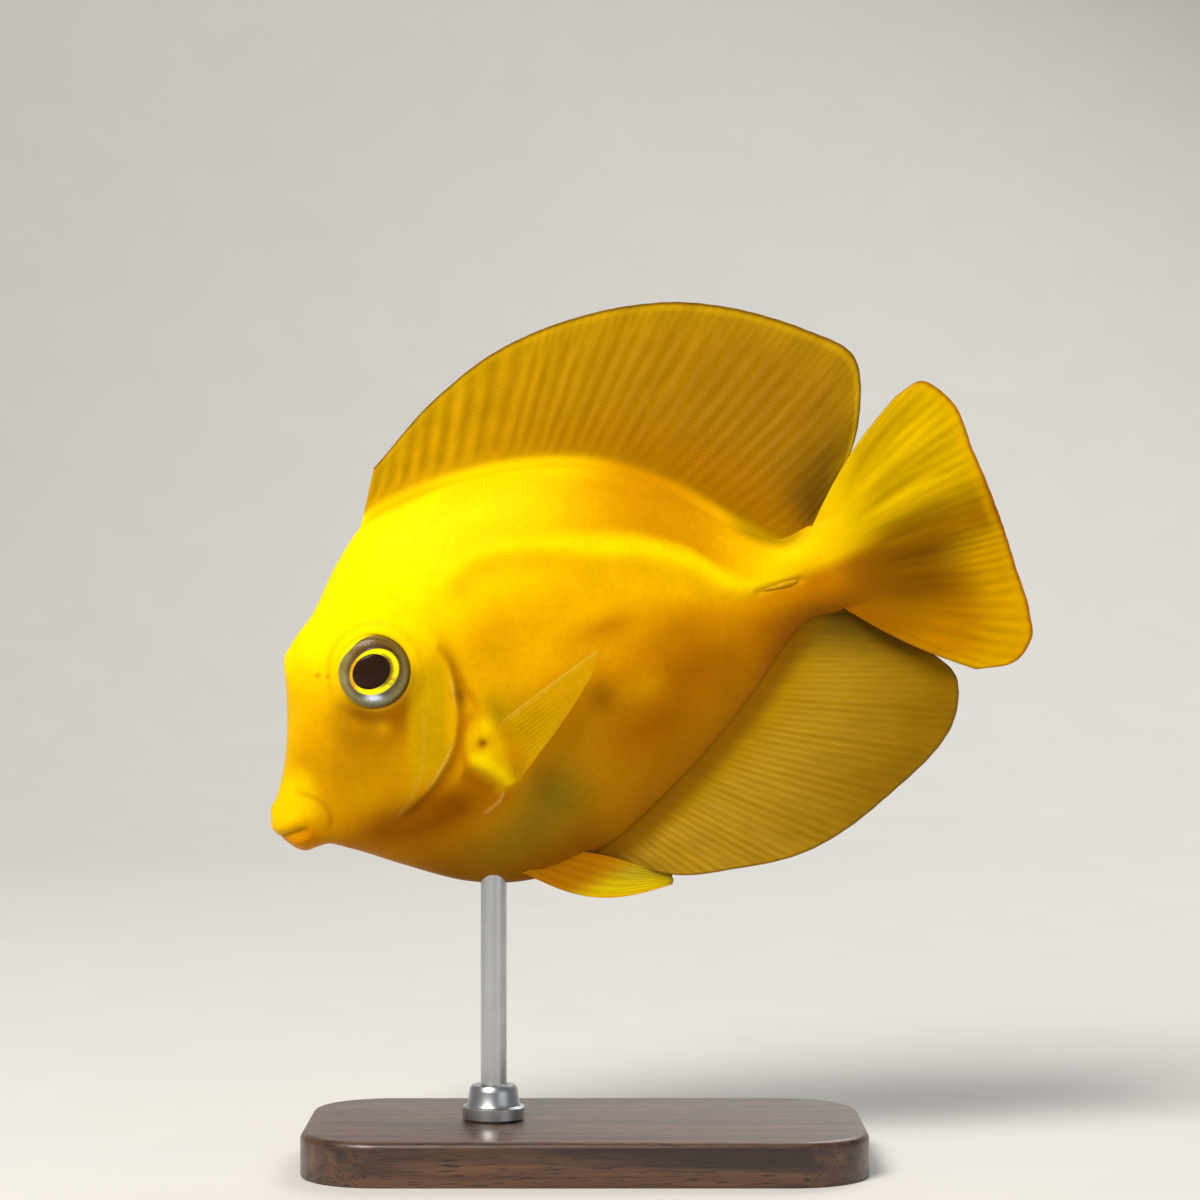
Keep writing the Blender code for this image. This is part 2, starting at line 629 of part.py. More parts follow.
def build_middle_fins(look):
    """Back, anal and tail fins, on the fish's mid plane."""
    spines = DORSAL_FIN_SPINES, DORSAL_SPINES_SHARE
    rays = fin_rays(DORSAL_FIN, along_profile(back, 1), DORSAL_FIN_RAYS, *spines)

    def dorsal_sway(x, z, share, out):
        return bend(x) * (1 - 0.4 * out)

    build_fin("dorsal_fin", rays, dorsal_sway, lambda share: DORSAL_FIN_ROOT, look)
    rays = fin_rays(ANAL_FIN, along_profile(belly, -1), ANAL_FIN_RAYS)

    def anal_sway(x, z, share, out):
        turn = ANAL_FIN_TURN * blend(share, 0.35, 0.9)
        return bend(x) * (1 - blend(out, 0.0, 0.7)) + turn * out

    build_fin("anal_fin", rays, anal_sway, lambda share: ANAL_FIN_ROOT, look)
    rays = fin_rays(TAIL_FIN, lambda z: (TAIL_ROOT_X + GAP, z), TAIL_FIN_RAYS)

    def tail_sway(x, z, share, out):
        return bend(x) - TAIL_FIN_FOLD * out * math.sin(2 * math.pi * (share - 0.1))

    def tail_root(share):
        ends, middle = TAIL_FIN_ROOT
        return ends + (middle - ends) * math.sqrt(max(0.0, 1 - (2 * share - 1) ** 2))

    build_fin("tail_fin", rays, tail_sway, tail_root, look)


def build_paired_fins(look):
    """Pectoral and pelvic fins, rooted in the flesh and cut clear of it."""
    for side, suffix in ((-1, "left"), (1, "right")):

        def pectoral_sway(x, z, share, out, side=side):
            behind = blend(x, PECTORAL_ROOT_X, PECTORAL_ROOT_X + PECTORAL_CLEAR_LENGTH)
            lift = (PECTORAL_ROOT_DEPTH + PECTORAL_CLEAR) * behind - PECTORAL_ROOT_DEPTH
            return side * (half_width(x, z) + lift + (PECTORAL_LIFT - PECTORAL_CLEAR) * out)

        def pelvic_sway(x, z, share, out, side=side):
            return side * (PELVIC_ROOT_Y + PELVIC_SPREAD * out)

        pectoral = fin_rays(PECTORAL_FIN, lambda z: (PECTORAL_ROOT_X, z), PECTORAL_FIN_RAYS)
        pelvic = fin_rays(PELVIC_FIN, lambda x: (x, PELVIC_ROOT_Z), PELVIC_FIN_RAYS)
        for name, rays, sway in (("pectoral", pectoral, pectoral_sway), ("pelvic", pelvic, pelvic_sway)):
            name = name + "_fin_" + suffix
            fin = build_fin(name, rays, sway, lambda share: PAIRED_FIN_ROOT, look, PAIRED_FIN_STEPS)
            cut(fin, body_loft("grown_body", GAP))
            keep_largest(fin)


def round_bar(name, radius, low, high, look=None):
    """An upright round bar at the rod's place."""
    edit = bmesh.new()
    bmesh.ops.create_cone(
        edit, cap_ends=True, segments=ROUND_SIDES, radius1=radius, radius2=radius, depth=high - low,
        matrix=Matrix.Translation((ROD_X, 0, (low + high) / 2)),
    )
    return finished(name, edit, look)


def build_base(look):
    """The flat base: a block with round corners and a softened upper edge, drilled for the rod."""
    height = STAND_BASE[2]
    edit = bmesh.new()
    bmesh.ops.create_cube(edit, size=1.0)
    bmesh.ops.scale(edit, vec=STAND_BASE, verts=edit.verts)
    bmesh.ops.translate(edit, vec=(0, 0, height / 2), verts=edit.verts)
    upright = [e for e in edit.edges if abs(e.verts[0].co.z - e.verts[1].co.z) > height / 2]
    bmesh.ops.bevel(edit, geom=upright, offset=STAND_CORNER, segments=6, profile=0.5, affect="EDGES")
    upper = [e for e in edit.edges if min(v.co.z for v in e.verts) > height / 2]
    bmesh.ops.bevel(edit, geom=upper, offset=STAND_EDGE, segments=2, profile=0.5, affect="EDGES")
    base = finished("stand_base", edit, look)
    cut(base, round_bar("rod_hole", ROD_RADIUS + GAP, ROD_FOOT - GAP, height + OUTSIDE))


def build_collar(look):
    """A turned collar round the rod, on the base."""
    bore, low = ROD_RADIUS + GAP, STAND_BASE[2] + GAP
    profile = (
        (bore, low), (COLLAR_RADIUS, low), (COLLAR_RADIUS, low + COLLAR_LIP),
        (bore + COLLAR_TOP, low + COLLAR_HEIGHT), (bore, low + COLLAR_HEIGHT),
    )
    edit = bmesh.new()
    corners = [edit.verts.new((ROD_X + radius, 0, z)) for radius, z in profile]
    sides = [edit.edges.new((a, b)) for a, b in zip(corners, corners[1:] + corners[:1])]
    bmesh.ops.spin(
        edit, geom=corners + sides, cent=(ROD_X, 0, 0), axis=(0, 0, 1), angle=2 * math.pi,
        steps=ROUND_SIDES, use_merge=True,
    )
    finished("stand_collar", edit, look)


def build_rod(pose, look):
    """The rod, from inside the base up to the fish's breast, where the skin cuts it off."""
    rod = round_bar("stand_rod", ROD_RADIUS, ROD_FOOT, SNOUT_HEIGHT, look)
    flesh = body_loft("grown_body", GAP)
    flesh.parent = pose
    bpy.context.view_layer.update()
    cut(rod, flesh)
    keep_largest(rod)


def main():
    for old in list(bpy.data.objects):
        bpy.data.objects.remove(old)
    skin = finish("yellow_skin", (0.86, 0.55, 0.02), 0.45)
    fins = finish("yellow_fins", (0.66, 0.38, 0.02), 0.5)
    flesh = build_flesh(skin)
    build_eyes(flesh["head"], finish("eye", (0.05, 0.03, 0.02), 0.1))
    cut_nostrils(flesh["head"])
    build_tail_spines(flesh["tail_stalk"], finish("spine_horn", (0.8, 0.6, 0.2), 0.35))
    build_middle_fins(fins)
    build_paired_fins(fins)
    pose = bpy.data.objects.new("fish_pose", None)
    bpy.context.scene.collection.objects.link(pose)
    pose.location = (-SNOUT_AHEAD * MM, 0, SNOUT_HEIGHT * MM)
    pose.rotation_euler = (0, -NOSE_DOWN, 0)
    for made in bpy.data.objects:
        if made.type == "MESH":
            made.parent = pose
    steel = finish("stand_steel", (0.6, 0.6, 0.6), 0.3, 1.0)
    build_base(finish("stand_wood", (0.06, 0.03, 0.015), 0.4))
    build_collar(steel)
    build_rod(pose, steel)
    for made in bpy.data.objects:
        if made.type == "MESH":
            made.data.shade_smooth()
            made.data.set_sharp_from_angle(angle=math.radians(40))


main()
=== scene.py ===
import math

import bpy
import numpy as np
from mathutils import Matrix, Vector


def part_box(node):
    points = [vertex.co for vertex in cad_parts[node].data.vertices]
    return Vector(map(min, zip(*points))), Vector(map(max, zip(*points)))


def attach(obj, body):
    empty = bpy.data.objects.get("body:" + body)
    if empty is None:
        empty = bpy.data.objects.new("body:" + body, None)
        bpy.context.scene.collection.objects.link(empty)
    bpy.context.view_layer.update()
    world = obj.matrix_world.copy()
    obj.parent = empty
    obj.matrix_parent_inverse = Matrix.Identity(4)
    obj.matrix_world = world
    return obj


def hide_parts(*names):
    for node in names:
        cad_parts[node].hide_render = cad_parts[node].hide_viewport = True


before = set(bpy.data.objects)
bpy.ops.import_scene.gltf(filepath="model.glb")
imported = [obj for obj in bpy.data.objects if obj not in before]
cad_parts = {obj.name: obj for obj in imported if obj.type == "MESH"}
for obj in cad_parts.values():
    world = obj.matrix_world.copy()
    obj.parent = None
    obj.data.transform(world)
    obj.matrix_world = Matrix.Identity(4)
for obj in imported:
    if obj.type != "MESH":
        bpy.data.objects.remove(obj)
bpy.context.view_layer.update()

# Base of the stand: a flat block of dark walnut with round corners, bored for the rod. It is sawn,
# sanded and eased along its edges, then closed with two coats of satin lacquer.
MM = 0.001
BASE_LENGTH, BASE_WIDTH, BASE_HEIGHT = 64.0, 34.0, 5.0
BASE_CORNER, BASE_EDGE, BASE_ARRIS = 9.0, 0.8, 0.25
ROD_X, ROD_RADIUS, ROD_FOOT = -10.5, 1.5, 2.0
BORE_RADIUS = ROD_RADIUS + 0.1


def settle(name):
    """Names the new piece and puts its place into its mesh."""
    piece = bpy.context.object
    piece.name = piece.data.name = name
    bpy.ops.object.transform_apply(location=True, rotation=True, scale=True)
    return piece


def bevel_edges(piece, wanted, offset, segments):
    """Rounds the edges whose two ends, in millimetres, pass the test."""
    mesh = piece.data
    for parts in (mesh.polygons, mesh.edges, mesh.vertices):
        parts.foreach_set("select", np.zeros(len(parts), bool))
    for edge in mesh.edges:
        edge.select = wanted(*(mesh.vertices[i].co / MM for i in edge.vertices))
    bpy.context.tool_settings.mesh_select_mode = (False, True, False)
    bpy.ops.object.mode_set(mode="EDIT")
    bpy.ops.mesh.bevel(offset=offset * MM, segments=segments, profile=0.5)
    bpy.ops.object.mode_set(mode="OBJECT")


bpy.ops.object.select_all(action="DESELECT")
bpy.ops.mesh.primitive_cube_add(size=MM, location=(0, 0, BASE_HEIGHT / 2 * MM))
bpy.context.object.scale = (BASE_LENGTH, BASE_WIDTH, BASE_HEIGHT)
base = settle("stand_base")
bevel_edges(base, lambda a, b: abs(a.z - b.z) > 1, BASE_CORNER, 24)
bevel_edges(base, lambda a, b: min(a.z, b.z) > BASE_HEIGHT - 0.01, BASE_EDGE, 5)
bevel_edges(base, lambda a, b: max(a.z, b.z) < 0.01, BASE_ARRIS, 2)
bpy.ops.object.select_all(action="DESELECT")
bpy.ops.mesh.primitive_cylinder_add(
    vertices=64, radius=BORE_RADIUS * MM, depth=2 * BASE_HEIGHT * MM,
    location=(ROD_X * MM, 0, (ROD_FOOT - 0.1 + BASE_HEIGHT) * MM),
)
bore = settle("bore")
bpy.ops.object.select_all(action="DESELECT")
base.select_set(True)
bpy.context.view_layer.objects.active = base
bpy.ops.object.modifier_add(type="BOOLEAN")
base.modifiers[-1].object = bore
bpy.ops.object.modifier_apply(modifier=base.modifiers[-1].name)
bpy.data.objects.remove(bore)
bpy.ops.object.shade_smooth_by_angle(angle=math.radians(25))


def linear(colour):
    """The linear colour of an sRGB hex value."""
    parts = [int(colour[i:i + 2], 16) / 255 for i in (1, 3, 5)]
    return (*(c / 12.92 if c <= 0.04045 else ((c + 0.055) / 1.055) ** 2.4 for c in parts), 1.0)


def add_node(tree, kind, sockets, output=0, **settings):
    """Adds a shader node with its settings, sets or links each named socket, and gives its output."""
    made = tree.nodes.new("ShaderNode" + kind)
    for name, value in settings.items():
        setattr(made, name, value)
    for name, value in sockets.items():
        if isinstance(value, bpy.types.NodeSocket):
            tree.links.new(value, made.inputs[name])
        else:
            made.inputs[name].default_value = value
    return made.outputs[output]


def new_material(name, **sockets):
    """A material with its shader's own sockets set, with its node tree and Object coordinates."""
    made = bpy.data.materials.new(name)
    made.use_nodes = True
    for socket, value in sockets.items():
        made.node_tree.nodes["Principled BSDF"].inputs[socket.replace("_", " ")].default_value = value
    return made, made.node_tree, add_node(made.node_tree, "TexCoord", {}, "Object")


def lay_on(tree, **patterns):
    """Links patterns to sockets of the material's shader."""
    for socket, pattern in patterns.items():
        tree.links.new(pattern, tree.nodes["Principled BSDF"].inputs[socket.replace("_", " ")])


def fit(piece, look, slot, *nodes):
    """Gives a finished piece its material, and puts it in the place of its CAD nodes."""
    piece.data.materials.append(look)
    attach(piece, "root")
    if nodes:
        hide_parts(*nodes)


# Walnut under satin lacquer: brown growth lines run along the block, with short dark pores between
# them. The lacquer gives a soft sheen, and the open pores still dent it a little.
GRAIN_WIDTH, GRAIN_STRETCH = 1.6, 0.05
PORE_WIDTH, PORE_STRETCH, PORE_DEPTH = 0.16, 0.06, 0.03
walnut, tree, place = new_material("walnut_satin_lacquer", Coat_Weight=0.35, Coat_Roughness=0.22)
along = add_node(tree, "Mapping", {"Vector": place, "Scale": (GRAIN_STRETCH, 1, 1)})
grain = add_node(tree, "TexNoise", {
    "Vector": along, "Scale": 1 / (GRAIN_WIDTH * MM), "Detail": 5.0, "Distortion": 0.7})
grain = add_node(tree, "MapRange", {"Value": grain, 1: 0.34, 2: 0.66})
along = add_node(tree, "Mapping", {"Vector": place, "Scale": (PORE_STRETCH, 1, 1)})
pores = add_node(tree, "TexNoise", {"Vector": along, "Scale": 1 / (PORE_WIDTH * MM), "Detail": 2.0})
open_pores = add_node(tree, "MapRange", {"Value": pores, 1: 0.56, 2: 0.66})
wood = add_node(tree, "Mix", {
    "Factor": grain, 6: linear("#2C1A10"), 7: linear("#66422A")}, 2, data_type="RGBA")
wood = add_node(tree, "Mix", {"Factor": open_pores, 6: wood, 7: linear("#1B0F09")}, 2, data_type="RGBA")
sheen = add_node(tree, "MapRange", {"Value": pores, 3: 0.36, 4: 0.5})
dents = add_node(tree, "Bump", {
    "Height": open_pores, "Strength": 0.4, "Distance": PORE_DEPTH * MM}, invert=True)
lay_on(tree, Base_Color=wood, Roughness=sheen, Normal=dents)
fit(base, walnut, "stand_wood", "stand_base")

# Rod and collar: stainless steel, turned on a lathe and left with its fine tool rings. The rod is
# glued into the base and the fish's breast, and the collar hides the bore.
COLLAR_RADIUS, COLLAR_LIP, COLLAR_HEIGHT, COLLAR_TOP = 3.6, 1.6, 4.0, ROD_RADIUS + 1.2
COLLAR_CLEAR = 0.05            # between the collar and the rod
COLLAR_CHAMFER, ROD_CHAMFER = 0.25, 0.2
ROD_INSIDE_FISH = 1.5
ROD_SIDES, COLLAR_SIDES = 72, 96
AXIS = 0.001                   # radius that closes a turned end on the axis


def turned(name, profile, sides):
    """A turned piece round the z axis: a circle is extruded and resized through (radius, height)."""
    bpy.ops.object.select_all(action="DESELECT")
    radius, height = profile[0]
    bpy.ops.mesh.primitive_circle_add(
        vertices=sides, radius=radius * MM, location=(0, 0, height * MM), fill_type="NOTHING")
    piece = settle(name)
    bpy.context.tool_settings.mesh_select_mode = (True, False, False)
    bpy.ops.object.mode_set(mode="EDIT")
    bpy.ops.mesh.select_all(action="SELECT")
    for wider, higher in profile[1:]:
        bpy.ops.mesh.extrude_region_move(
            TRANSFORM_OT_translate={"value": (0, 0, (higher - height) * MM)})
        bpy.ops.transform.resize(value=(wider / radius, wider / radius, 1), center_override=(0, 0, 0))
        radius, height = wider, higher
    bpy.ops.mesh.select_all(action="SELECT")
    bpy.ops.mesh.remove_doubles(threshold=0.004 * MM)
    bpy.ops.mesh.normals_make_consistent(inside=False)
    bpy.ops.object.mode_set(mode="OBJECT")
    bpy.ops.object.shade_smooth_by_angle(angle=math.radians(30))
    return piece


def shift(piece, x, y, z):
    """Moves a finished mesh, and leaves its object at the origin."""
    piece.location = (x * MM, y * MM, z * MM)
    bpy.ops.object.transform_apply(location=True, rotation=False, scale=False)


rod_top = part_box("stand_rod")[1][2] / MM + ROD_INSIDE_FISH
narrow = ROD_RADIUS - ROD_CHAMFER
rod = turned("stand_rod_steel", (
    (AXIS, ROD_FOOT), (narrow, ROD_FOOT), (ROD_RADIUS, ROD_FOOT + ROD_CHAMFER),
    (ROD_RADIUS, rod_top - ROD_CHAMFER), (narrow, rod_top), (AXIS, rod_top)), ROD_SIDES)
shift(rod, ROD_X, 0, 0)
bore_radius, foot = ROD_RADIUS + COLLAR_CLEAR, BASE_HEIGHT
lip, top = foot + COLLAR_LIP, foot + COLLAR_HEIGHT
collar = turned("stand_collar_steel", (
    (bore_radius, foot), (COLLAR_RADIUS - COLLAR_CHAMFER, foot), (COLLAR_RADIUS, foot + COLLAR_CHAMFER),
    (COLLAR_RADIUS, lip - 0.12), (COLLAR_RADIUS - 0.12, lip), (COLLAR_RADIUS - 0.45, lip + 0.08),
    (COLLAR_RADIUS - 0.6, lip + 0.35), (COLLAR_TOP + 0.1, top - 0.7), (COLLAR_TOP, top - 0.3),
    (COLLAR_TOP - 0.25, top), (bore_radius + 0.15, top), (bore_radius, top - 0.15),
    (bore_radius, foot)), COLLAR_SIDES)
shift(collar, ROD_X, 0, 0)


def uneven(tree, place, size, detail, low, high):
    """A tone that wanders from low to high in soft patches of a size in millimetres."""
    noise = add_node(tree, "TexNoise", {"Vector": place, "Scale": 1 / (size * MM), "Detail": detail})
    return add_node(tree, "MapRange", {"Value": noise, 1: 0.3, 2: 0.7, 3: low, 4: high})


# Turned stainless steel: a cool grey metal. Rings left by the tool, some 0.1 mm apart, stretch its
# highlights along the bar.
RING_PITCH, RING_DEPTH, HANDLED_SIZE = 0.1, 0.01, 4.0
steel, tree, place = new_material(
    "turned_stainless_steel", Base_Color=linear("#C4C6C8"), Metallic=1.0, Roughness=0.3)
rings = add_node(tree, "Mapping", {"Vector": place, "Scale": (0.02, 0.02, 1)})
rings = add_node(tree, "TexNoise", {"Vector": rings, "Scale": 1 / (RING_PITCH * MM), "Detail": 3.0})
cuts = add_node(tree, "Bump", {"Height": rings, "Strength": 0.25, "Distance": RING_DEPTH * MM})
lay_on(tree, Roughness=uneven(tree, place, HANDLED_SIZE, 3.0, 0.24, 0.38), Normal=cuts)
fit(rod, steel, "stand_steel", "stand_rod")
fit(collar, steel, "stand_steel", "stand_collar")

# Skin: one closed cast of the whole fish, from the lips to the root of the tail fin, with the gill
# covers, mouth, nostrils and creases modelled in it. It is cast in resin and painted by airbrush.
NOSE_DOWN = math.radians(21)
SNOUT_HEIGHT, SNOUT_AHEAD = 40.0, 36.0
BEND_START_X, BEND = 48.0, 0.0025      # the rear bends sideways, by the square of the distance
# Upper and lower profile without the fins, height of the widest place, and half of the thickness,
# each as (x, value)
BACK = (
    (-0.5, -1.2), (-0.1, 0.1), (1.3, 1.8), (4.0, 6.0), (6.8, 13.2), (7.5, 15.7), (9.0, 17.4),
    (12.5, 19.8), (17.3, 24.3), (21.7, 27.4), (28.0, 28.4), (35.0, 28.1), (42.0, 26.8),
    (49.0, 24.1), (56.0, 18.6), (62.0, 11.6), (65.5, 9.0), (69.5, 8.9),
)
BELLY = (
    (-0.5, -1.4), (-0.1, -2.5), (0.5, -3.4), (1.3, -4.6), (2.0, -5.15), (3.4, -5.3), (4.8, -5.4),
    (7.0, -6.8), (12.0, -10.7), (18.0, -15.0), (24.0, -17.4), (30.0, -17.9), (36.0, -16.9),
    (42.0, -14.5), (50.0, -10.8), (58.0, -6.0), (63.0, -2.5), (66.0, -1.2), (69.5, -1.5),
)
WAIST = ((-0.5, -1.3), (3.0, -1.8), (8.0, 0.6), (17.0, 3.8), (30.0, 4.2), (50.0, 5.0), (69.5, 3.7))
THICKNESS = (
    (-0.5, 0.5), (0.0, 1.3), (1.2, 2.0), (3.0, 2.35), (5.5, 2.5), (8.0, 3.0), (12.0, 4.1),
    (17.0, 5.4), (22.0, 6.0), (28.0, 6.4), (34.0, 6.3), (42.0, 5.6), (50.0, 4.4), (58.0, 3.2),
    (64.0, 2.5), (68.0, 1.9), (70.5, 1.45), (73.0, 0.9), (76.0, 0.4), (80.0, 0.0),
)
# Shape of a ring above and below its widest place, as (power, root), reached between two x
BACK_SECTION, BELLY_SECTION, SECTION_BLEND = (3.0, 0.78), (2.4, 0.66), (2.0, 24.0)
SHEATH_START, SHEATH_END = 69.5, 70.9      # the skin ends in a blunt round inside the tail fin's root


def smooth_curve(knots):
    """A curve through (x, y) knots, as a function of x."""
    xs, ys = np.array(knots, float).T
    slopes = np.gradient(ys, xs)

    def at(x):
        i = np.clip(np.searchsorted(xs, x) - 1, 0, len(xs) - 2)
        span = xs[i + 1] - xs[i]
        t = np.clip((x - xs[i]) / span, 0, 1)
        start = (1 + 2 * t) * (1 - t) ** 2 * ys[i] + t * (1 - t) ** 2 * span * slopes[i]
        end = t * t * (3 - 2 * t) * ys[i + 1] + t * t * (t - 1) * span * slopes[i + 1]
        return start + end

    return at


def blend(x, low, high):
    """0 below low, 1 above high and a smooth step between."""
    t = np.clip((x - low) / (high - low), 0, 1)
    return t * t * (3 - 2 * t)


def bump(distance, width):
    """A round bump: 1 at no distance, and nearly gone at twice the width."""
    return np.exp(-((distance / width) ** 2))


def bend(x):
    """Sideways shift of the tail end, towards the fish's left."""
    return -BEND * np.maximum(0, x - BEND_START_X) ** 2


back, belly, waist = smooth_curve(BACK), smooth_curve(BELLY), smooth_curve(WAIST)
thickness = smooth_curve(THICKNESS)


def sheath(x):
    """Share of the height that is left where the skin ends in a round inside the tail fin."""
    return np.sqrt(1 - np.clip((x - SHEATH_START) / (SHEATH_END - SHEATH_START), 0, 1) ** 2)


def plain_width(x, z):
    """Share of the thickness left at a point of the side view, and its distance from the mid plane."""
    middle = waist(x)
    above = z > middle
    reach = np.where(above, back(x) - middle, middle - belly(x)) * np.maximum(sheath(x), 1e-3)
    rise = np.clip(np.abs(z - middle) / reach, 0, 1)
    sharp = blend(x, *SECTION_BLEND)
    power = 2 + (np.where(above, BACK_SECTION[0], BELLY_SECTION[0]) - 2) * sharp
    root = 0.5 + (np.where(above, BACK_SECTION[1], BELLY_SECTION[1]) - 0.5) * sharp
    share = np.maximum(0, 1 - rise ** power) ** root
    return share, thickness(x) * share


# Lines of the head and flank in the side view, as (x, z)
LINES = {
    "gill": (
        (12.0, -5.8), (16.2, -4.4), (18.6, -3.3), (20.3, -2.1), (22.0, -0.6), (23.7, 1.9),
        (24.6, 4.4), (25.1, 6.7), (25.4, 9.3), (25.1, 11.7), (24.4, 13.4), (23.2, 14.6)),
    "cheek": (
        (13.0, -6.0), (15.4, -4.3), (17.2, -2.9), (18.8, -0.6), (20.9, 4.5), (21.9, 8.0), (22.4, 10.5)),
    "shoulder": ((24.9, 11.8), (25.5, 9.8), (25.9, 7.8), (26.2, 5.9), (26.7, 4.1), (26.8, 2.4)),
    "plate": ((14.6, -5.0), (16.0, -3.1), (17.4, 0.2), (18.5, 3.3), (19.6, 6.2), (20.6, 9.4)),
    "flank": (
        (26.2, 14.7), (29.3, 17.4), (32.4, 18.4), (35.7, 18.2), (39.5, 17.1), (45.8, 14.1),
        (50.0, 12.4), (53.2, 10.3), (55.9, 8.1), (57.6, 5.6), (59.6, 4.3), (62.5, 3.9), (68.0, 4.1)),
    "mouth": ((-1.0, -2.75), (0.3, -2.65), (2.2, -2.75), (3.6, -2.95), (4.3, -3.5)),
    "lip_fold": ((3.4, 1.9), (4.7, 0.7), (6.1, -0.9), (6.5, -2.2), (6.3, -3.4), (5.4, -4.4)),
    "fold": ((22.9, -2.2), (24.2, -3.2), (25.3, -4.3), (26.1, -5.6), (26.3, -6.8)),
    "hook": ((26.3, -6.6), (25.5, -7.5), (24.1, -8.1), (22.5, -8.6)),
    "slot": ((61.2, 3.9), (63.8, 3.75), (66.3, 3.5)),
}
# Ridges and creases beside the lines: how high, how far off the line's left, how wide, and the shares
# of the line over which its start and its end fade
CREASES = (
    ("cheek", 0.012, 0.3, 0.35, 0.12, 0.6), ("cheek", -0.012, -0.05, 0.25, 0.12, 0.6),
    ("shoulder", -0.1, 0, 0.4, 0.3, 0.2),
    ("flank", 0.1, 0.9, 1.0, 0.2, 0.25), ("flank", -0.11, -0.8, 1.0, 0.2, 0.25),
    ("lip_fold", 0.1, -0.5, 0.5, 0.25, 0.25), ("lip_fold", -0.16, 0, 0.28, 0.25, 0.25),
    ("hook", 0.06, 0, 0.22, 0.1, 0.3),
    ("fold", 0.1, 0.4, 0.6, 0.25, 0.25), ("fold", -0.2, -0.7, 0.6, 0.25, 0.25),
)
EYE_CENTRE = (17.3, 11.1)
EYE_OPENING, EYE_RIM, EYE_FOLD = 4.12, 4.45, 5.5      # radii of the socket, its bead and a faint fold
EYE_BEADS = ((0.26, 4.9, 0.75), (0.05, EYE_RIM, 0.2))  # rings round the eye: height, radius, width
SOCKET_DEPTH, EYE_FOLD_DEPTH = 2.2, 0.07
NOSTRILS = ((10.9, 12.9, 0.45), (12.0, 12.4, 0.32))   # x, z, radius: front and rear
NOSTRIL_RIM, NOSTRIL_DEPTH = 0.05, 0.3
PECTORAL_BASE, PECTORAL_BASE_SIZE, PECTORAL_BASE_HEIGHT = (26.0, -2.4), (2.1, 3.7), 0.7
PIT, PIT_DEPTH = (25.9, -0.8, 0.55), 0.22              # hollow in the fleshy base: x, z, radius
GILL_STEP, GILL_CLEFT = 0.28, 0.10     # gill cover's edge above, and cleft below, the skin behind
GILL_BEAD = 0.02                       # ridge along the lower part of the edge
GILL_SLOPE, CLEFT_WIDTH, CLEFT_END = 5.0, 0.8, 2.6     # lengths of the rise to the edge and of the cleft
SLOT_DEPTH, SLOT_WIDTH = 0.3, 0.45
LIP_CLEFT_Z, LIP_ROLL, LIP_MIDDLE, LIP_WIDTH, LIP_REACH = -2.9, 0.35, 1.2, 0.8, 4.2
MOUTH_DEPTH, MOUTH_WIDTH, MOUTH_NOTCH = 0.24, 0.26, 0.28


def smooth_line(knots, count=70):
    """Points along a smooth line through (x, z) knots."""
    knots = np.array(knots, float)
    steps = np.cumsum([0, *np.hypot(*np.diff(knots, axis=0).T)])
    places = np.linspace(0, steps[-1], count)
    return np.stack([smooth_curve(list(zip(steps, column)))(places) for column in knots.T], 1)


def from_line(knots, x, z):
    """Distance from a line, positive on its left, and the share of the way along it."""
    line = smooth_line(knots)
    near = np.full(x.shape, 1e9)
    side, share = np.ones(x.shape), np.zeros(x.shape)
    for i, ((ax, az), (rx, rz)) in enumerate(zip(line[:-1], np.diff(line, axis=0))):
        t = np.clip(((x - ax) * rx + (z - az) * rz) / (rx * rx + rz * rz), 0, 1)
        gap = np.hypot(x - ax - t * rx, z - az - t * rz)
        closer = gap < near
        near = np.where(closer, gap, near)
        side = np.where(closer, np.sign(rx * (z - az) - rz * (x - ax)), side)
        share = np.where(closer, (i + t) / (len(line) - 1), share)
    return near * side, share


def fall(x, low, high):
    """1 below low, 0 above high and a smooth step between."""
    return 1 - blend(x, low, high)


def stripe(near_line, off, width, start, end):
    """A soft stripe off the left of a line, which fades out towards both of the line's ends."""
    gap, share = near_line
    return bump(gap - off, width) * blend(share, 0, start) * fall(share, 1 - end, 1)


def features(x, z):
    """Distances from the lines and spots of the head and flank, which shape and colour the skin."""
    found = {name: from_line(knots, x, z) for name, knots in LINES.items()}
    found["eye"] = np.hypot(x - EYE_CENTRE[0], z - EYE_CENTRE[1])
    found["nostrils"] = [np.hypot(x - nx, z - nz) / radius for nx, nz, radius in NOSTRILS]
    found["base"] = np.hypot((x - PECTORAL_BASE[0]) / PECTORAL_BASE_SIZE[0],
                             (z - PECTORAL_BASE[1]) / PECTORAL_BASE_SIZE[1])
    found["pit"] = np.hypot(x - PIT[0], z - PIT[1]) / PIT[2]
    return found


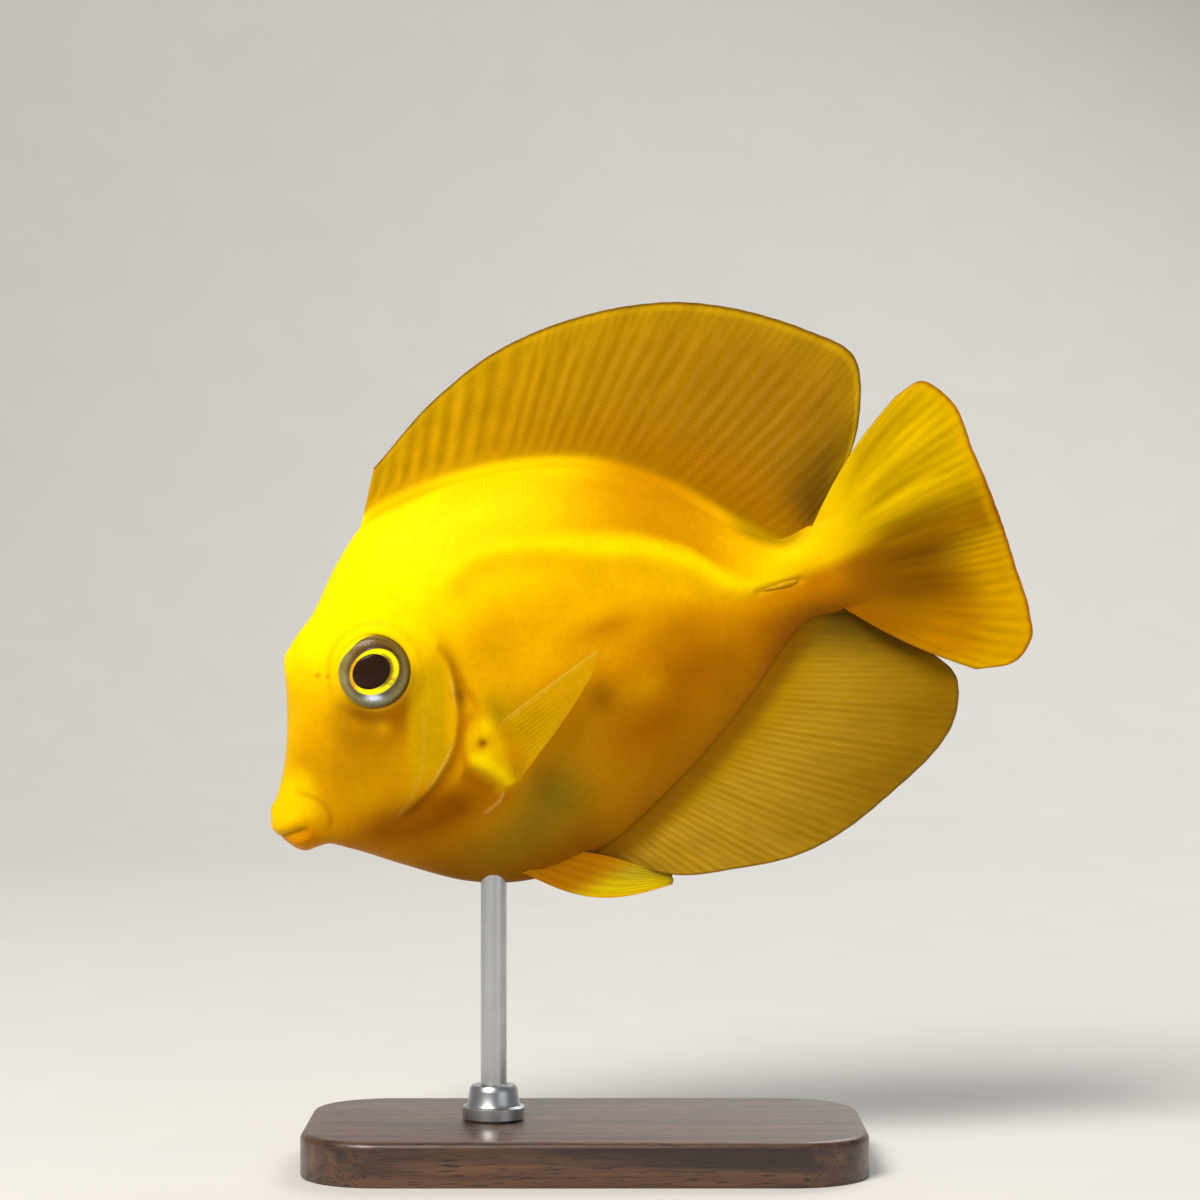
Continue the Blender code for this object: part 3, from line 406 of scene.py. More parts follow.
def relief(x, z, found):
    """How far the skin stands out from the plain body at a point of the side view."""
    # The line runs up the gill cover's edge, so its left, the positive side, is ahead of the edge
    ahead, share = found["gill"]
    behind = -ahead
    step_down = GILL_STEP - (GILL_STEP + GILL_CLEFT) * blend(behind, 0, CLEFT_WIDTH)
    edge = np.where(behind < 0, GILL_STEP * np.exp(behind / GILL_SLOPE), step_down)
    edge = np.where(behind > CLEFT_WIDTH, -GILL_CLEFT * fall(behind, CLEFT_WIDTH, CLEFT_END), edge)
    edge += GILL_BEAD * bump(behind + 0.3, 0.25) * fall(share, 0.35, 0.7)
    height = edge * blend(share, 0, 0.18) * fall(share, 0.75, 1)
    for name, rise, off, width, start, end in CREASES:
        height += rise * stripe(found[name], off, width, start, end)
    height -= SLOT_DEPTH * bump(found["slot"][0], SLOT_WIDTH)
    # Socket: beads round the eye, a fold above it, and the wall that goes down behind it
    eye = found["eye"]
    height += sum(rise * bump(eye - radius, width) for rise, radius, width in EYE_BEADS)
    height -= EYE_FOLD_DEPTH * bump(eye - EYE_FOLD, 0.3) * blend(z, EYE_CENTRE[1] - 4, EYE_CENTRE[1])
    height -= SOCKET_DEPTH * blend(EYE_OPENING + 0.1 - eye, 0, 0.5)
    for gap in found["nostrils"]:
        height += NOSTRIL_RIM * bump(gap - 1.25, 0.4) - NOSTRIL_DEPTH * fall(gap, 0.35, 1.05)
    # Fleshy base of the pectoral fin, with a small hollow
    height += PECTORAL_BASE_HEIGHT * np.exp(-found["base"] ** 2) - PIT_DEPTH * bump(found["pit"], 0.8)
    # Lips, rolled outwards on both sides of the cleft
    roll = LIP_ROLL * bump(np.abs(z - LIP_CLEFT_Z) - LIP_MIDDLE, LIP_WIDTH)
    height += roll * fall(x, LIP_REACH - 1.2, LIP_REACH)
    gap, share = found["mouth"]
    return height - MOUTH_DEPTH * bump(gap, MOUTH_WIDTH) * fall(share, 0.55, 0.95)


def half_width(x, z):
    """Distance from the mid plane to the skin at a point of the side view."""
    share, plain = plain_width(x, z)
    return plain + relief(x, z, features(x, z)) * np.minimum(1, 3 * share)


def put_points(piece, x, y, z):
    """Puts a piece's points at places of the level fish, and tilts them over the stand."""
    across, up = math.cos(NOSE_DOWN), math.sin(NOSE_DOWN)
    places = np.stack([across * x - up * z - SNOUT_AHEAD, y, up * x + across * z + SNOUT_HEIGHT], 1)
    piece.data.vertices.foreach_set("co", (places * MM).astype(np.float32).ravel())
    piece.data.update()
    bpy.ops.object.select_all(action="DESELECT")
    piece.select_set(True)
    bpy.context.view_layer.objects.active = piece
    bpy.ops.object.mode_set(mode="EDIT")
    bpy.ops.mesh.select_all(action="SELECT")
    bpy.ops.mesh.normals_make_consistent(inside=False)
    bpy.ops.object.mode_set(mode="OBJECT")
    bpy.ops.object.shade_smooth()


def points_of(piece):
    """A mesh's points as an array."""
    found = np.empty(3 * len(piece.data.vertices), np.float32)
    piece.data.vertices.foreach_get("co", found)
    return found.reshape(-1, 3).astype(float)


# Rings of the cast along the fish: closest at the lips and the head's fine forms
LIPS_END, HEAD_END, TRUNK_END = 2, 27, 60
stations = np.concatenate([
    -0.5 + (LIPS_END + 0.5) * np.linspace(0, 1, 31) ** 2,
    np.linspace(LIPS_END, HEAD_END, 161)[1:], np.linspace(HEAD_END, TRUNK_END, 61)[1:],
    np.linspace(TRUNK_END, SHEATH_START, 41)[1:],
    SHEATH_START + (SHEATH_END - SHEATH_START) * np.sin(np.linspace(0, math.pi / 2, 10))[1:],
])
SKIN_SPOKES = 300
RING_CROWD = 1.25              # above 1 it crowds a ring's points at the back and belly
skin_rings = len(stations) - 1
bpy.ops.object.select_all(action="DESELECT")
bpy.ops.mesh.primitive_uv_sphere_add(segments=SKIN_SPOKES, ring_count=skin_rings, radius=1)
skin = settle("skin")
ball = points_of(skin)
ring = np.rint(np.arccos(np.clip(ball[:, 2], -1, 1)) / math.pi * skin_rings).astype(int)
turn = np.arctan2(ball[:, 1], ball[:, 0]) / math.pi       # 0 at the back, 1 at the belly
x = stations[ring]
upper = np.abs(turn) < 0.5
from_edge = 2 * np.where(upper, np.abs(turn), 1 - np.abs(turn))
rise = (1 - from_edge ** RING_CROWD) * np.where(upper, 1, -1)
z = waist(x) + rise * np.where(upper, back(x) - waist(x), waist(x) - belly(x)) * sheath(x)


def crowd(distance, reach, power=1.7):
    """Draws the distances below reach towards 0, so that a crisp edge gets more points."""
    drawn = np.sign(distance) * reach * (np.abs(distance) / reach) ** power
    return np.where(np.abs(distance) < reach, drawn, distance)


gill_x = smooth_curve([(height, place) for place, height in LINES["gill"]])
near = blend(z, -7.5, -5) * fall(z, 13, 16)
x += near * (gill_x(z) + crowd(x - gill_x(z), 1.8) - x)
from_eye = np.hypot(x - EYE_CENTRE[0], z - EYE_CENTRE[1])
drawn = (EYE_OPENING + crowd(from_eye - EYE_OPENING, 1.3)) / np.maximum(from_eye, 1e-6)
x, z = (centre + (place - centre) * drawn for centre, place in zip(EYE_CENTRE, (x, z)))
# The cleft of the mouth also notches the front of the lips
x += MOUTH_NOTCH * bump(z + 2.7, 0.3) * fall(x, 0.2, 1.6)
share, plain = plain_width(x, z)
found = features(x, z)
width = plain + relief(x, z, found) * np.minimum(1, 3 * share)
side = np.where(turn > 0, 1, -1)
on_ridge = (np.abs(turn) < 1e-4) | (np.abs(turn) > 1 - 1e-4) | (ring == 0) | (ring == skin_rings)
put_points(skin, x, np.where(on_ridge, 0, side * width) + bend(x), z)
skin.data.uv_layers[0].name = "OFBake"


def sprayed(coat, *passes):
    """A painted coat: each pass of the airbrush turns it to a colour by 0 to 1 at each point."""
    for colour, amount in passes:
        coat = coat + (np.array(linear(colour)) - coat) * np.clip(amount, 0, 1)[:, None]
    return coat


def all_over(colour, x):
    """The first coat, of one colour."""
    return np.tile(linear(colour), (len(x), 1))


def paint(piece, coat):
    """Keeps the painted colours in the mesh, for its material to read."""
    layer = piece.data.color_attributes.new("coat", "FLOAT_COLOR", "POINT")
    layer.data.foreach_set("color", coat.astype(np.float32).ravel())


LEMON, YELLOW, GOLD, AMBER = "#FFE400", "#FACC00", "#E8AC00", "#C88200"
# The dark brown for creases, the dark orange for the gill's cleft and SHADE are painted shade
BROWN, CREASE_SHADE, OLIVE, PALE = "#8E5202", "#653A06", "#7C6410", "#F6DC78"
CLEFT_SHADE, SHADE = "#8A4800", "#A06A04"
LEMON_LINE = (
    (0, 6), (4, 10), (7, 13.5), (9, 14.5), (12, 14), (18, 13), (26, 15.5), (34, 19), (46, 17.5),
    (56, 11.5), (62, 6.5), (70, 5.5),
)
AMBER_LINE = ((0, -4), (6, -1), (12, 1), (20, -1), (32, 2), (42, 5), (52, 4.5), (60, 3.2), (75, 3.2))


def skin_coat(x, z, found):
    """Colours of the skin at points of the side view, laid on in passes of the airbrush."""

    def spots(*places):
        """Soft oval spots, each as its strength, x, z, half length and half height."""
        return sum(strength * bump(x - at_x, length) * bump(z - at_z, height)
                   for strength, at_x, at_z, length, height in places)

    above, below = z - smooth_curve(LEMON_LINE)(x), smooth_curve(AMBER_LINE)(x) - z
    from_belly, from_back = z - belly(x), back(x) - z
    over_flank = z - smooth_curve(LINES["flank"])(np.clip(x, 26.2, 68))
    rear_back = blend(x, 37, 53) * fall(x, 59, 64) * blend(over_flank, 1.8, 4)
    eye, base, pit = found["eye"], found["base"], found["pit"]
    (ahead, gill_share), (mouth, mouth_share) = found["gill"], found["mouth"]
    plate = found["plate"][0]
    plate_behind = fall(plate, -0.9, 0.7) * blend(plate, -5, -3.5)
    low_gill = fall(gill_share, 0.35, 0.5) * blend(gill_share, 0.18, 0.34)
    coat = sprayed(
        all_over(GOLD, x),
        # Lemon over the head and back, yellow above and amber below: partly the fish's own
        # countershading, partly painted light from above and painted shade on the lower flank
        (YELLOW, blend(above, -9, 0)),
        (LEMON, blend(above, -2, 3) * (1 - 0.92 * blend(x, 19, 38))),
        (AMBER, 0.95 * blend(below, -4, 6)),
        # Amber along the rear of the back, with a brighter strip under the front of the dorsal fin, a
        # painted highlight
        ("#CA8200", 0.9 * rear_back * (1 - 0.6 * fall(from_back, 0.8, 2.6) * fall(x, 44, 54))),
        (GOLD, 0.6 * fall(from_back, 0.1, 1.2) * blend(x, 21, 24) * fall(x, 28, 36)),
        # Darker belly and lower stalk, and the yellow ridge of the stalk: partly the fish's own colours,
        # partly painted shade below and painted light on the ridge
        (BROWN, 0.85 * fall(from_belly, 2, 10) * blend(x, 8, 17) * (1 - 0.55 * blend(x, 32, 38))),
        ("#B66E00", 0.9 * blend(4.4 - z, -0.4, 1.6) * blend(x, 54, 62)),
        (BROWN, 0.8 * blend(1.6 - z, -0.6, 2.4) * blend(x, 56, 64)),
        ("#EAB000", 0.9 * blend(z, 3.8, 5.4) * blend(x, 56, 62)),
        (LEMON, spots((0.6, 66.5, 6.4, 4, 1.5))),
        ("#A88200", 0.85 * blend(x, 60, 63) * fall(from_back, 0.3, 2) * fall(x, 67, 70)),
        # Over the root of the tail fin: brown below the middle and yellow above, the painted shade and
        # light of the tail fin's fold
        ("#8A5404", 0.85 * blend(x, 69, 74) * fall(z, 2.4, 5.0) * blend(z, -3.5, -0.5)),
        ("#E4BA00", 0.8 * blend(x, 69, 74) * blend(z, 4.2, 6)),
        # Olive, brown and orange patches of the breast and flank
        (OLIVE, spots((0.85, 31.5, -8.5, 5.5, 4), (0.7, 25, -12.6, 7.5, 3.4))),
        (OLIVE, spots((0.3, 40, -4, 6, 4), (0.25, 30, 2.5, 4, 2))),
        ("#A85C00", spots((0.6, 43.5, 6.4, 3.6, 1.5), (0.5, 52, 3.4, 6, 2.5))),
        ("#925000", spots((0.75, 51, -1.6, 7, 4), (0.75, 44, -6.5, 6, 3.5))),
        ("#C08800", spots((0.6, 31, 8, 4, 4))),
        (BROWN, spots((0.65, 40.4, -1.0, 1.6, 1.7))),
        ("#CC9400", spots((0.5, 45.5, -1.3, 2.2, 1.8))),
        ("#7E4200", spots((0.95, 20, -6.4, 6, 3.2), (0.9, 12.2, -6.0, 6, 2.6))),
        ("#927A00", spots((0.6, 28.7, 1.9, 1.0, 2.4), (0.4, 31, 0, 2.4, 2))),
        # Cheek: amber under the eye, with painted shadow under the eye as a dark crescent and darker
        # patches, and a yellower plate behind
        ("#AC7400", spots((0.9, 13.5, 3, 6, 6.5), (0.36, 9, -1, 3, 3), (0.36, 6, 4, 2.4, 4))),
        ("#DEA200", spots((0.5, 7, 10.8, 3, 3.5), (0.35, 10.5, -1.5, 3.5, 2))),
        ("#824800", 0.95 * bump(eye - 5.0, 1.1) * fall(z, 7, 10.5)),
        (SHADE, spots((0.75, 16, 4.6, 4.4, 1.8), (0.4, 11.6, 6.6, 1.6, 3.4))),
        (SHADE, spots((0.35, 9.3, 2.2, 1.3, 1.8), (0.3, 15.4, 2.6, 1.3, 1))),
        ("#965800", bump(plate - 1.3, 1.7) * blend(plate, -0.8, 0.6) * spots((0.9, 18.6, 5.6, 4, 3))),
        ("#BE9600", 0.8 * plate_behind * blend(z, -4.5, 0) * fall(z, 8, 12)),
        ("#DCA400", spots((0.45, 15.9, 4.7, 0.8, 0.7))),
        # Lips: a golden upper lip, an orange lower one, painted shade along the fold behind them and
        # painted shadow in the cleft
        ("#F8C800", 0.85 * fall(x, 4.5, 7) * blend(z, -2.8, 0) * fall(z, 1.5, 5)),
        ("#CC7E00", 0.8 * fall(x, 3, 6) * fall(z, -3.6, -2.6)),
        (SHADE, 0.4 * stripe(found["lip_fold"], 0, 0.45, 0.2, 0.2)),
        (BROWN, 0.6 * bump(mouth + 0.1, 0.35) * fall(mouth_share, 0.7, 1)),
        # Gill cover: painted shade in the cleft and crease behind its edge and along the shoulder, a
        # painted highlight along the edge low down and at one spot high up, and the faint line of the
        # cheek bone
        ("#BE9200", 0.4 * stripe(found["gill"], 1.4, 1.4, 0.2, 0.3)),
        (CLEFT_SHADE, 0.6 * stripe(found["gill"], -0.7, 0.7, 0.15, 0.35)),
        (PALE, 0.25 * bump(ahead - 0.12, 0.14) * low_gill),
        (PALE, 0.3 * bump(ahead - 0.1, 0.14) * bump(gill_share - 0.67, 0.05)),
        (CREASE_SHADE, spots((0.6, 25.4, 5.2, 0.7, 1.0))),
        (PALE, 0.06 * stripe(found["cheek"], 0.15, 0.18, 0.1, 0.6)),
        ("#AE6A00", 0.6 * stripe(found["shoulder"], 0, 0.5, 0.1, 0.15)),
        # Flank line: a painted highlight above it and painted shade below it
        (LEMON, 0.5 * stripe(found["flank"], 0.9, 0.9, 0.1, 0.15)),
        ("#D69A00", 0.5 * stripe(found["flank"], -1.2, 1.4, 0.1, 0.2)),
        # Base of the pectoral fin, its fold, hollow and hook, with painted highlights on the fold and the
        # top of the lump, and painted shade round its front, under the fold and in the hollow
        ("#A85E00", 0.5 * bump(base - 1.3, 0.25) * fall(x, 25.5, 27.5)),
        ("#E2B400", 0.8 * fall(base, 0.5, 1.4)),
        (BROWN, 0.8 * stripe(found["fold"], -1.3, 1.0, 0.1, 0.2)),
        (LEMON, 0.45 * stripe(found["fold"], 0.9, 0.8, 0.2, 0.1)),
        (LEMON, spots((0.4, 26.9, 0.9, 0.8, 1.0), (0.4, 25.4, -2.4, 0.9, 0.6))),
        ("#985400", 0.75 * bump(pit, 0.9) + spots((0.45, 25.8, -0.9, 1.1, 0.6))),
        (PALE, 0.25 * stripe(found["hook"], 0, 0.14, 0.15, 0.35)),
        # Socket, and the slot of the tail spine: painted shade at the socket's edge, in the fold above
        # the eye and in the slot
        ("#86640C", 0.6 * bump(eye - EYE_RIM, 0.3) * fall(z, 8, 12)),
        (CREASE_SHADE, 0.9 * blend(EYE_OPENING + 0.06 - eye, 0, 0.12)),
        (AMBER, 0.25 * bump(eye - EYE_FOLD, 0.3) * blend(z, 9, 12)),
        ("#A86C04", 0.3 * bump(found["slot"][0], 0.4)),
    )
    # Painted shade in the nostrils
    return sprayed(coat, *((BROWN, 0.3 * fall(gap, 0.5, 1.1)) for gap in found["nostrils"]))


paint(skin, skin_coat(x, z, found))

# Airbrushed resin under satin varnish: thin yellow glazes over a warm cast, with a yellow-tinted
# gloss. Small scales, drawn a little coarser than the real 0.2 mm, break its sheen, and the glaze is
# faintly mottled.
SCALE_SIZE, SCALE_DEPTH, MOTTLE_SIZE, SPECK_SIZE = 0.42, 0.06, 5.0, 0.7
VARNISH = "#FFC820"
painted_skin, tree, place = new_material(
    "airbrushed_resin_skin", Roughness=0.46, Specular_IOR_Level=0.25, Specular_Tint=linear(VARNISH),
    Subsurface_Weight=0.1, Subsurface_Scale=0.8 * MM, Subsurface_Radius=(1.0, 0.8, 0.1))


def coloured(tree, tone):
    """The painted coat, made lighter or darker by a tone: it colours the shader. Gives its coat."""
    coat = add_node(tree, "Attribute", {}, "Color", attribute_name="coat")
    lay_on(tree, Base_Color=add_node(tree, "Mix", {
        "Factor": 1.0, 6: coat, 7: tone}, 2, data_type="RGBA", blend_type="MULTIPLY"))
    return coat


mottle = uneven(tree, place, MOTTLE_SIZE, 3.0, 0.92, 1.05)
specks = uneven(tree, place, SPECK_SIZE, 2.0, 0.95, 1.04)
coloured(tree, add_node(tree, "Math", {0: mottle, 1: specks}, operation="MULTIPLY"))
scales = add_node(tree, "TexVoronoi", {
    "Vector": place, "Scale": 1 / (SCALE_SIZE * MM)}, "Distance", feature="SMOOTH_F1")
scales = add_node(tree, "Bump", {
    "Height": scales, "Strength": 0.3, "Distance": SCALE_DEPTH * MM}, invert=True)
lay_on(tree, Normal=scales)
fit(skin, painted_skin, "yellow_skin",
    "head", "lower_jaw", "gill_cover_left", "gill_cover_right", "trunk", "tail_stalk")

# Eyes: domed glass, set in the sockets, with a painted iris and a separate dark lens in a well in its
# middle. An olive-grey ring lies outside a narrow gold one, and the pupil sits a little forwards.
EYE_RADIUS, EYE_BULGE, EYE_POWER, EYE_REAR, EYE_MIDDLE = 4.3, 2.4, 3, 1.7, 3.9
GOLD_EDGE, PUPIL_EDGE, PUPIL_SHIFT = 2.95, 2.25, (-0.3, 0.14)
OVAL, OVAL_TILT = 0.155, math.radians(14)              # flatness and tilt of the gold ring and pupil
GOLD_DROP = 0.1                                        # iris slopes down towards the pupil
PAINTED_GLINT = (-0.1, -2.95, 0.85, 0.34)                      # painted glint under the pupil, a reflection of light: place and size
LID, LID_PLACE = 0.45, 2.0                             # yellow skin over the ring's upper front edge
WELL_DEPTH, LENS_SUNK, LENS_STEP, LENS_BULGE = 0.3, 0.25, 0.2, 0.38
EYE_SIDES = 128
IRIS_FLECKS, IRIS_WAVES, IRIS_WAVE_DEPTH = 0.25, 0.5, 0.02
SIDES = ((-1, "left"), (1, "right"))                   # of the fish: which way along y, and its name


def eye_height(radius):
    """Height of the eyeball's face above its middle."""
    return EYE_BULGE * (1 - (radius / EYE_RADIUS) ** EYE_POWER) ** (1 / EYE_POWER)


rear = [(EYE_RADIUS * math.sin(a), -EYE_REAR * math.cos(a)) for a in np.linspace(0.001, 1.57, 9)]
face = [(radius, eye_height(radius)) for radius in np.linspace(EYE_RADIUS - 0.01, GOLD_EDGE + 0.06, 26)]
iris = [
    (radius, eye_height(radius) - 0.04 - GOLD_DROP * (GOLD_EDGE - radius) / (GOLD_EDGE - PUPIL_EDGE))
    for radius in np.linspace(GOLD_EDGE, PUPIL_EDGE - 0.2, 12)]
well_floor = iris[-1][1] - WELL_DEPTH
well = [(PUPIL_EDGE - WELL_DEPTH, well_floor), (AXIS, well_floor)]
lens_foot = iris[-1][1] - LENS_SUNK
dome = [(PUPIL_EDGE * math.sin(a), lens_foot + LENS_STEP + LENS_BULGE * math.cos(a))
        for a in np.linspace(math.pi / 2, 0.0005, 14)]
lens_profile = [(AXIS, lens_foot - LENS_STEP), (PUPIL_EDGE - 0.1, lens_foot - LENS_STEP), *dome]

glass_eye, tree, place = new_material(
    "painted_glass_eye", Roughness=0.3, Coat_Weight=0.15, Coat_Roughness=0.05, Specular_IOR_Level=0.12)
coloured(tree, uneven(tree, place, IRIS_FLECKS, 3.0, 0.8, 1.15))
wavy = add_node(tree, "TexNoise", {"Vector": place, "Scale": 1 / (IRIS_WAVES * MM), "Detail": 2.0})
lay_on(tree, Normal=add_node(tree, "Bump", {
    "Height": wavy, "Strength": 0.15, "Distance": IRIS_WAVE_DEPTH * MM}))

# Pupil: dark brown glass, polished less than the iris so that it stays deep and plain.
PUPIL_CLOUDS = 1.5
dark_lens, tree, place = new_material("dark_glass_pupil", Roughness=0.16, Specular_IOR_Level=0.08)
depth = add_node(tree, "TexNoise", {"Vector": place, "Scale": 1 / (PUPIL_CLOUDS * MM), "Detail": 2.0})
lay_on(tree, Base_Color=add_node(tree, "Mix", {
    "Factor": depth, 6: linear("#24160E"), 7: linear("#301E12")}, 2, data_type="RGBA"))


def eye_coat(radius, angle, across, up, pupil_colour):
    """Colours of an eye: its grey ring, with painted reflection and a painted glint, the lid, the gold
    ring and the pupil.
    """
    clock = angle + NOSE_DOWN                              # 0 towards the tail, a quarter turn upwards
    top, bottom = 0.5 + 0.5 * np.sin(clock), 0.5 - 0.5 * np.sin(clock)
    level_across = across * math.cos(NOSE_DOWN) - up * math.sin(NOSE_DOWN)
    level_up = across * math.sin(NOSE_DOWN) + up * math.cos(NOSE_DOWN)
    painted_glint = bump(level_across - PAINTED_GLINT[0], PAINTED_GLINT[2]) * bump(level_up - PAINTED_GLINT[1], PAINTED_GLINT[3])
    in_gold = fall(radius, GOLD_EDGE - 0.06, GOLD_EDGE + 0.02)
    return sprayed(
        all_over("#807038", radius),
        # Painted reflection of the surroundings: darker at the top of the ring and greyer at the bottom
        ("#6A4A12", 0.9 * top ** 2),
        ("#565E58", 0.85 * bottom ** 3),
        ("#98966A", 0.5 * blend(-np.cos(clock), 0.5, 1) * (0.6 + 0.4 * np.sin(9 * angle))),
        ("#A89A5C", 0.4 * bump(radius - 3.6, 0.25) * (1 - top)),
        ("#3C2804", (0.25 + 0.65 * top) * bump(radius - GOLD_EDGE - 0.2, 0.22)),
        # Painted glint: a reflection of light on the ring under the pupil
        ("#DCE8FC", 1.3 * painted_glint),
        ("#9A8A48", 0.7 * bump(radius - 4.08, 0.16)),
        (LEMON, blend(radius + LID * bump(angle - LID_PLACE, 0.5), 4.14, 4.26)),
        ("#E8A400", in_gold),
        ("#FFF000", in_gold * 0.95 * blend(np.abs(np.sin(clock)) + 0.5 * np.cos(clock), 0.1, 0.7)),
        ("#5E4C1C", in_gold * 0.9 * fall(radius, 2.4, 2.65) * blend(np.cos(clock), 0.2, 0.8)),
        ("#8A5C04", in_gold * 0.8 * bump(clock + 0.55, 0.22) * (0.6 + 0.4 * np.sin(22 * angle))),
        (pupil_colour, fall(radius, PUPIL_EDGE - 0.05, PUPIL_EDGE + 0.02)),
    )


for side_sign, suffix in SIDES:
    for name, profile, look, pupil_colour, nodes in (
        ("eye_glass_", rear + face + iris + well, glass_eye, "#0C0805", ["eye_" + suffix]),
        ("eye_lens_", lens_profile, dark_lens, "#281A10", []),
    ):
        piece = turned(name + suffix, profile, EYE_SIDES)
        across, up, out = (points_of(piece) / MM).T
        radius, angle = np.hypot(across, up), np.arctan2(up, across)
        inner = fall(radius, PUPIL_EDGE, GOLD_EDGE)
        flatter = OVAL * (up * math.cos(OVAL_TILT) - across * math.sin(OVAL_TILT))
        flatter *= fall(radius, GOLD_EDGE, GOLD_EDGE + 0.9)
        across, up = across + flatter * math.sin(OVAL_TILT), up - flatter * math.cos(OVAL_TILT)
        put_points(piece, EYE_CENTRE[0] + across + PUPIL_SHIFT[0] * inner,
                   side_sign * (EYE_MIDDLE + out), EYE_CENTRE[1] + up + PUPIL_SHIFT[1] * inner)
        paint(piece, eye_coat(radius, angle, across, up, pupil_colour))
        fit(piece, look, "eye", *nodes)

# Tail spines: one horn blade on each side of the stalk, sharp at the front, folded into its slot with
# the point forwards. They are carved from resin and glued in.
SPINE_POINT, SPINE_HEEL = (61.6, 3.9), (65.9, 3.5)
SPINE_HALF_HEIGHT, SPINE_HALF_DEPTH, SPINE_PROUD = 0.36, 0.5, 0.2
STREAK_WIDTH, STREAK_DEPTH = 0.2, 0.02

horn, tree, place = new_material(
    "carved_horn_spine", Roughness=0.45, Specular_IOR_Level=0.2, Specular_Tint=linear(VARNISH))
streaks = add_node(tree, "Mapping", {"Vector": place, "Scale": (0.25, 1, 1)})
streaks = add_node(tree, "TexNoise", {
    "Vector": streaks, "Scale": 1 / (STREAK_WIDTH * MM), "Detail": 3.0})
streaks = add_node(tree, "MapRange", {"Value": streaks, 1: 0.35, 2: 0.65})
colour = add_node(tree, "Mix", {
    "Factor": streaks, 6: linear("#BE8800"), 7: linear("#D2A21C")}, 2, data_type="RGBA")
ridges = add_node(tree, "Bump", {"Height": streaks, "Strength": 0.3, "Distance": STREAK_DEPTH * MM})
lay_on(tree, Base_Color=colour, Normal=ridges)

for side_sign, suffix in SIDES:
    bpy.ops.object.select_all(action="DESELECT")
    bpy.ops.mesh.primitive_uv_sphere_add(segments=40, ring_count=28, radius=1)
    piece = settle("tail_spine_blade_" + suffix)
    across, up, lengthwise = points_of(piece).T
    along_spine = (1 + lengthwise) / 2                      # 0 at the point, 1 at the heel
    ball_width = np.maximum(np.sqrt(1 - lengthwise ** 2), 1e-6)
    swell = np.minimum(1, 1.5 * along_spine ** 0.75) * np.sqrt(1 - along_spine ** 8)
    x = SPINE_POINT[0] + (SPINE_HEEL[0] - SPINE_POINT[0]) * along_spine
    z = SPINE_POINT[1] + (SPINE_HEEL[1] - SPINE_POINT[1]) * along_spine
    z = z + SPINE_HALF_HEIGHT * swell * up / ball_width
    middle = plain_width(x, z)[1] + SPINE_PROUD - SPINE_HALF_DEPTH
    across = np.sign(across) * np.abs(across / ball_width) ** 1.4
    put_points(piece, x, side_sign * (middle + SPINE_HALF_DEPTH * swell * across) + bend(x), z)
    fit(piece, horn, "spine_horn", "tail_spine_" + suffix)

# Dorsal fin: 8 stiff spines and then 28 soft rays, joined by thin skin and rooted in the back. It is
# cast thin in tinted resin, with its rays raised on both faces, and forks them towards its edge.
DORSAL_FIN = (                 # x of the root, x and z of the tip, and how far the ray bows upwards
    (21.9, 25.2, 33.0, 0.0), (30.0, 35.1, 38.1, 0.0), (34.5, 41.6, 40.2, 0.0),
    (40.0, 49.6, 41.0, 0.0), (50.0, 66.3, 37.6, 0.0), (56.0, 77.0, 30.2, -0.3),
    (59.5, 81.3, 24.6, -0.5), (62.5, 79.0, 17.9, -0.5), (66.3, 74.7, 12.7, -0.2),
    (68.4, 72.5, 10.6, 0.0),
)
DORSAL_RAYS, DORSAL_SPINES, DORSAL_SPINES_SHARE = 36, 8, 0.32      # the spines' share of the root
REAR_SINK, REAR_SINK_PLACE = 1.5, (61, 67)    # the rear of its root lies deeper in the stalk, from x to x
ROOT_OFF = 0.3                 # root's line off the profile
FIN_SUNK = 1.3                 # how deep the fin goes into the flesh below it
FIN_NOTCH = 0.0015             # how far the edge dips between two rays, as a share of their length
RAY_HEIGHT, SKIN_HALF, EDGE_HALF = 0.09, 0.17, 0.07                # half thicknesses
FILLET, FILLET_LENGTH = 0.3, 1.3
ROOT_CROWD = 1.25              # above 1 it crowds a fin's points towards its edge
FULL_RAYS = (0.4, 2.8)         # the rays rise out of the flesh between two distances from the root
WAVE = 0.12                    # how far the edges of the long fins wave to each side


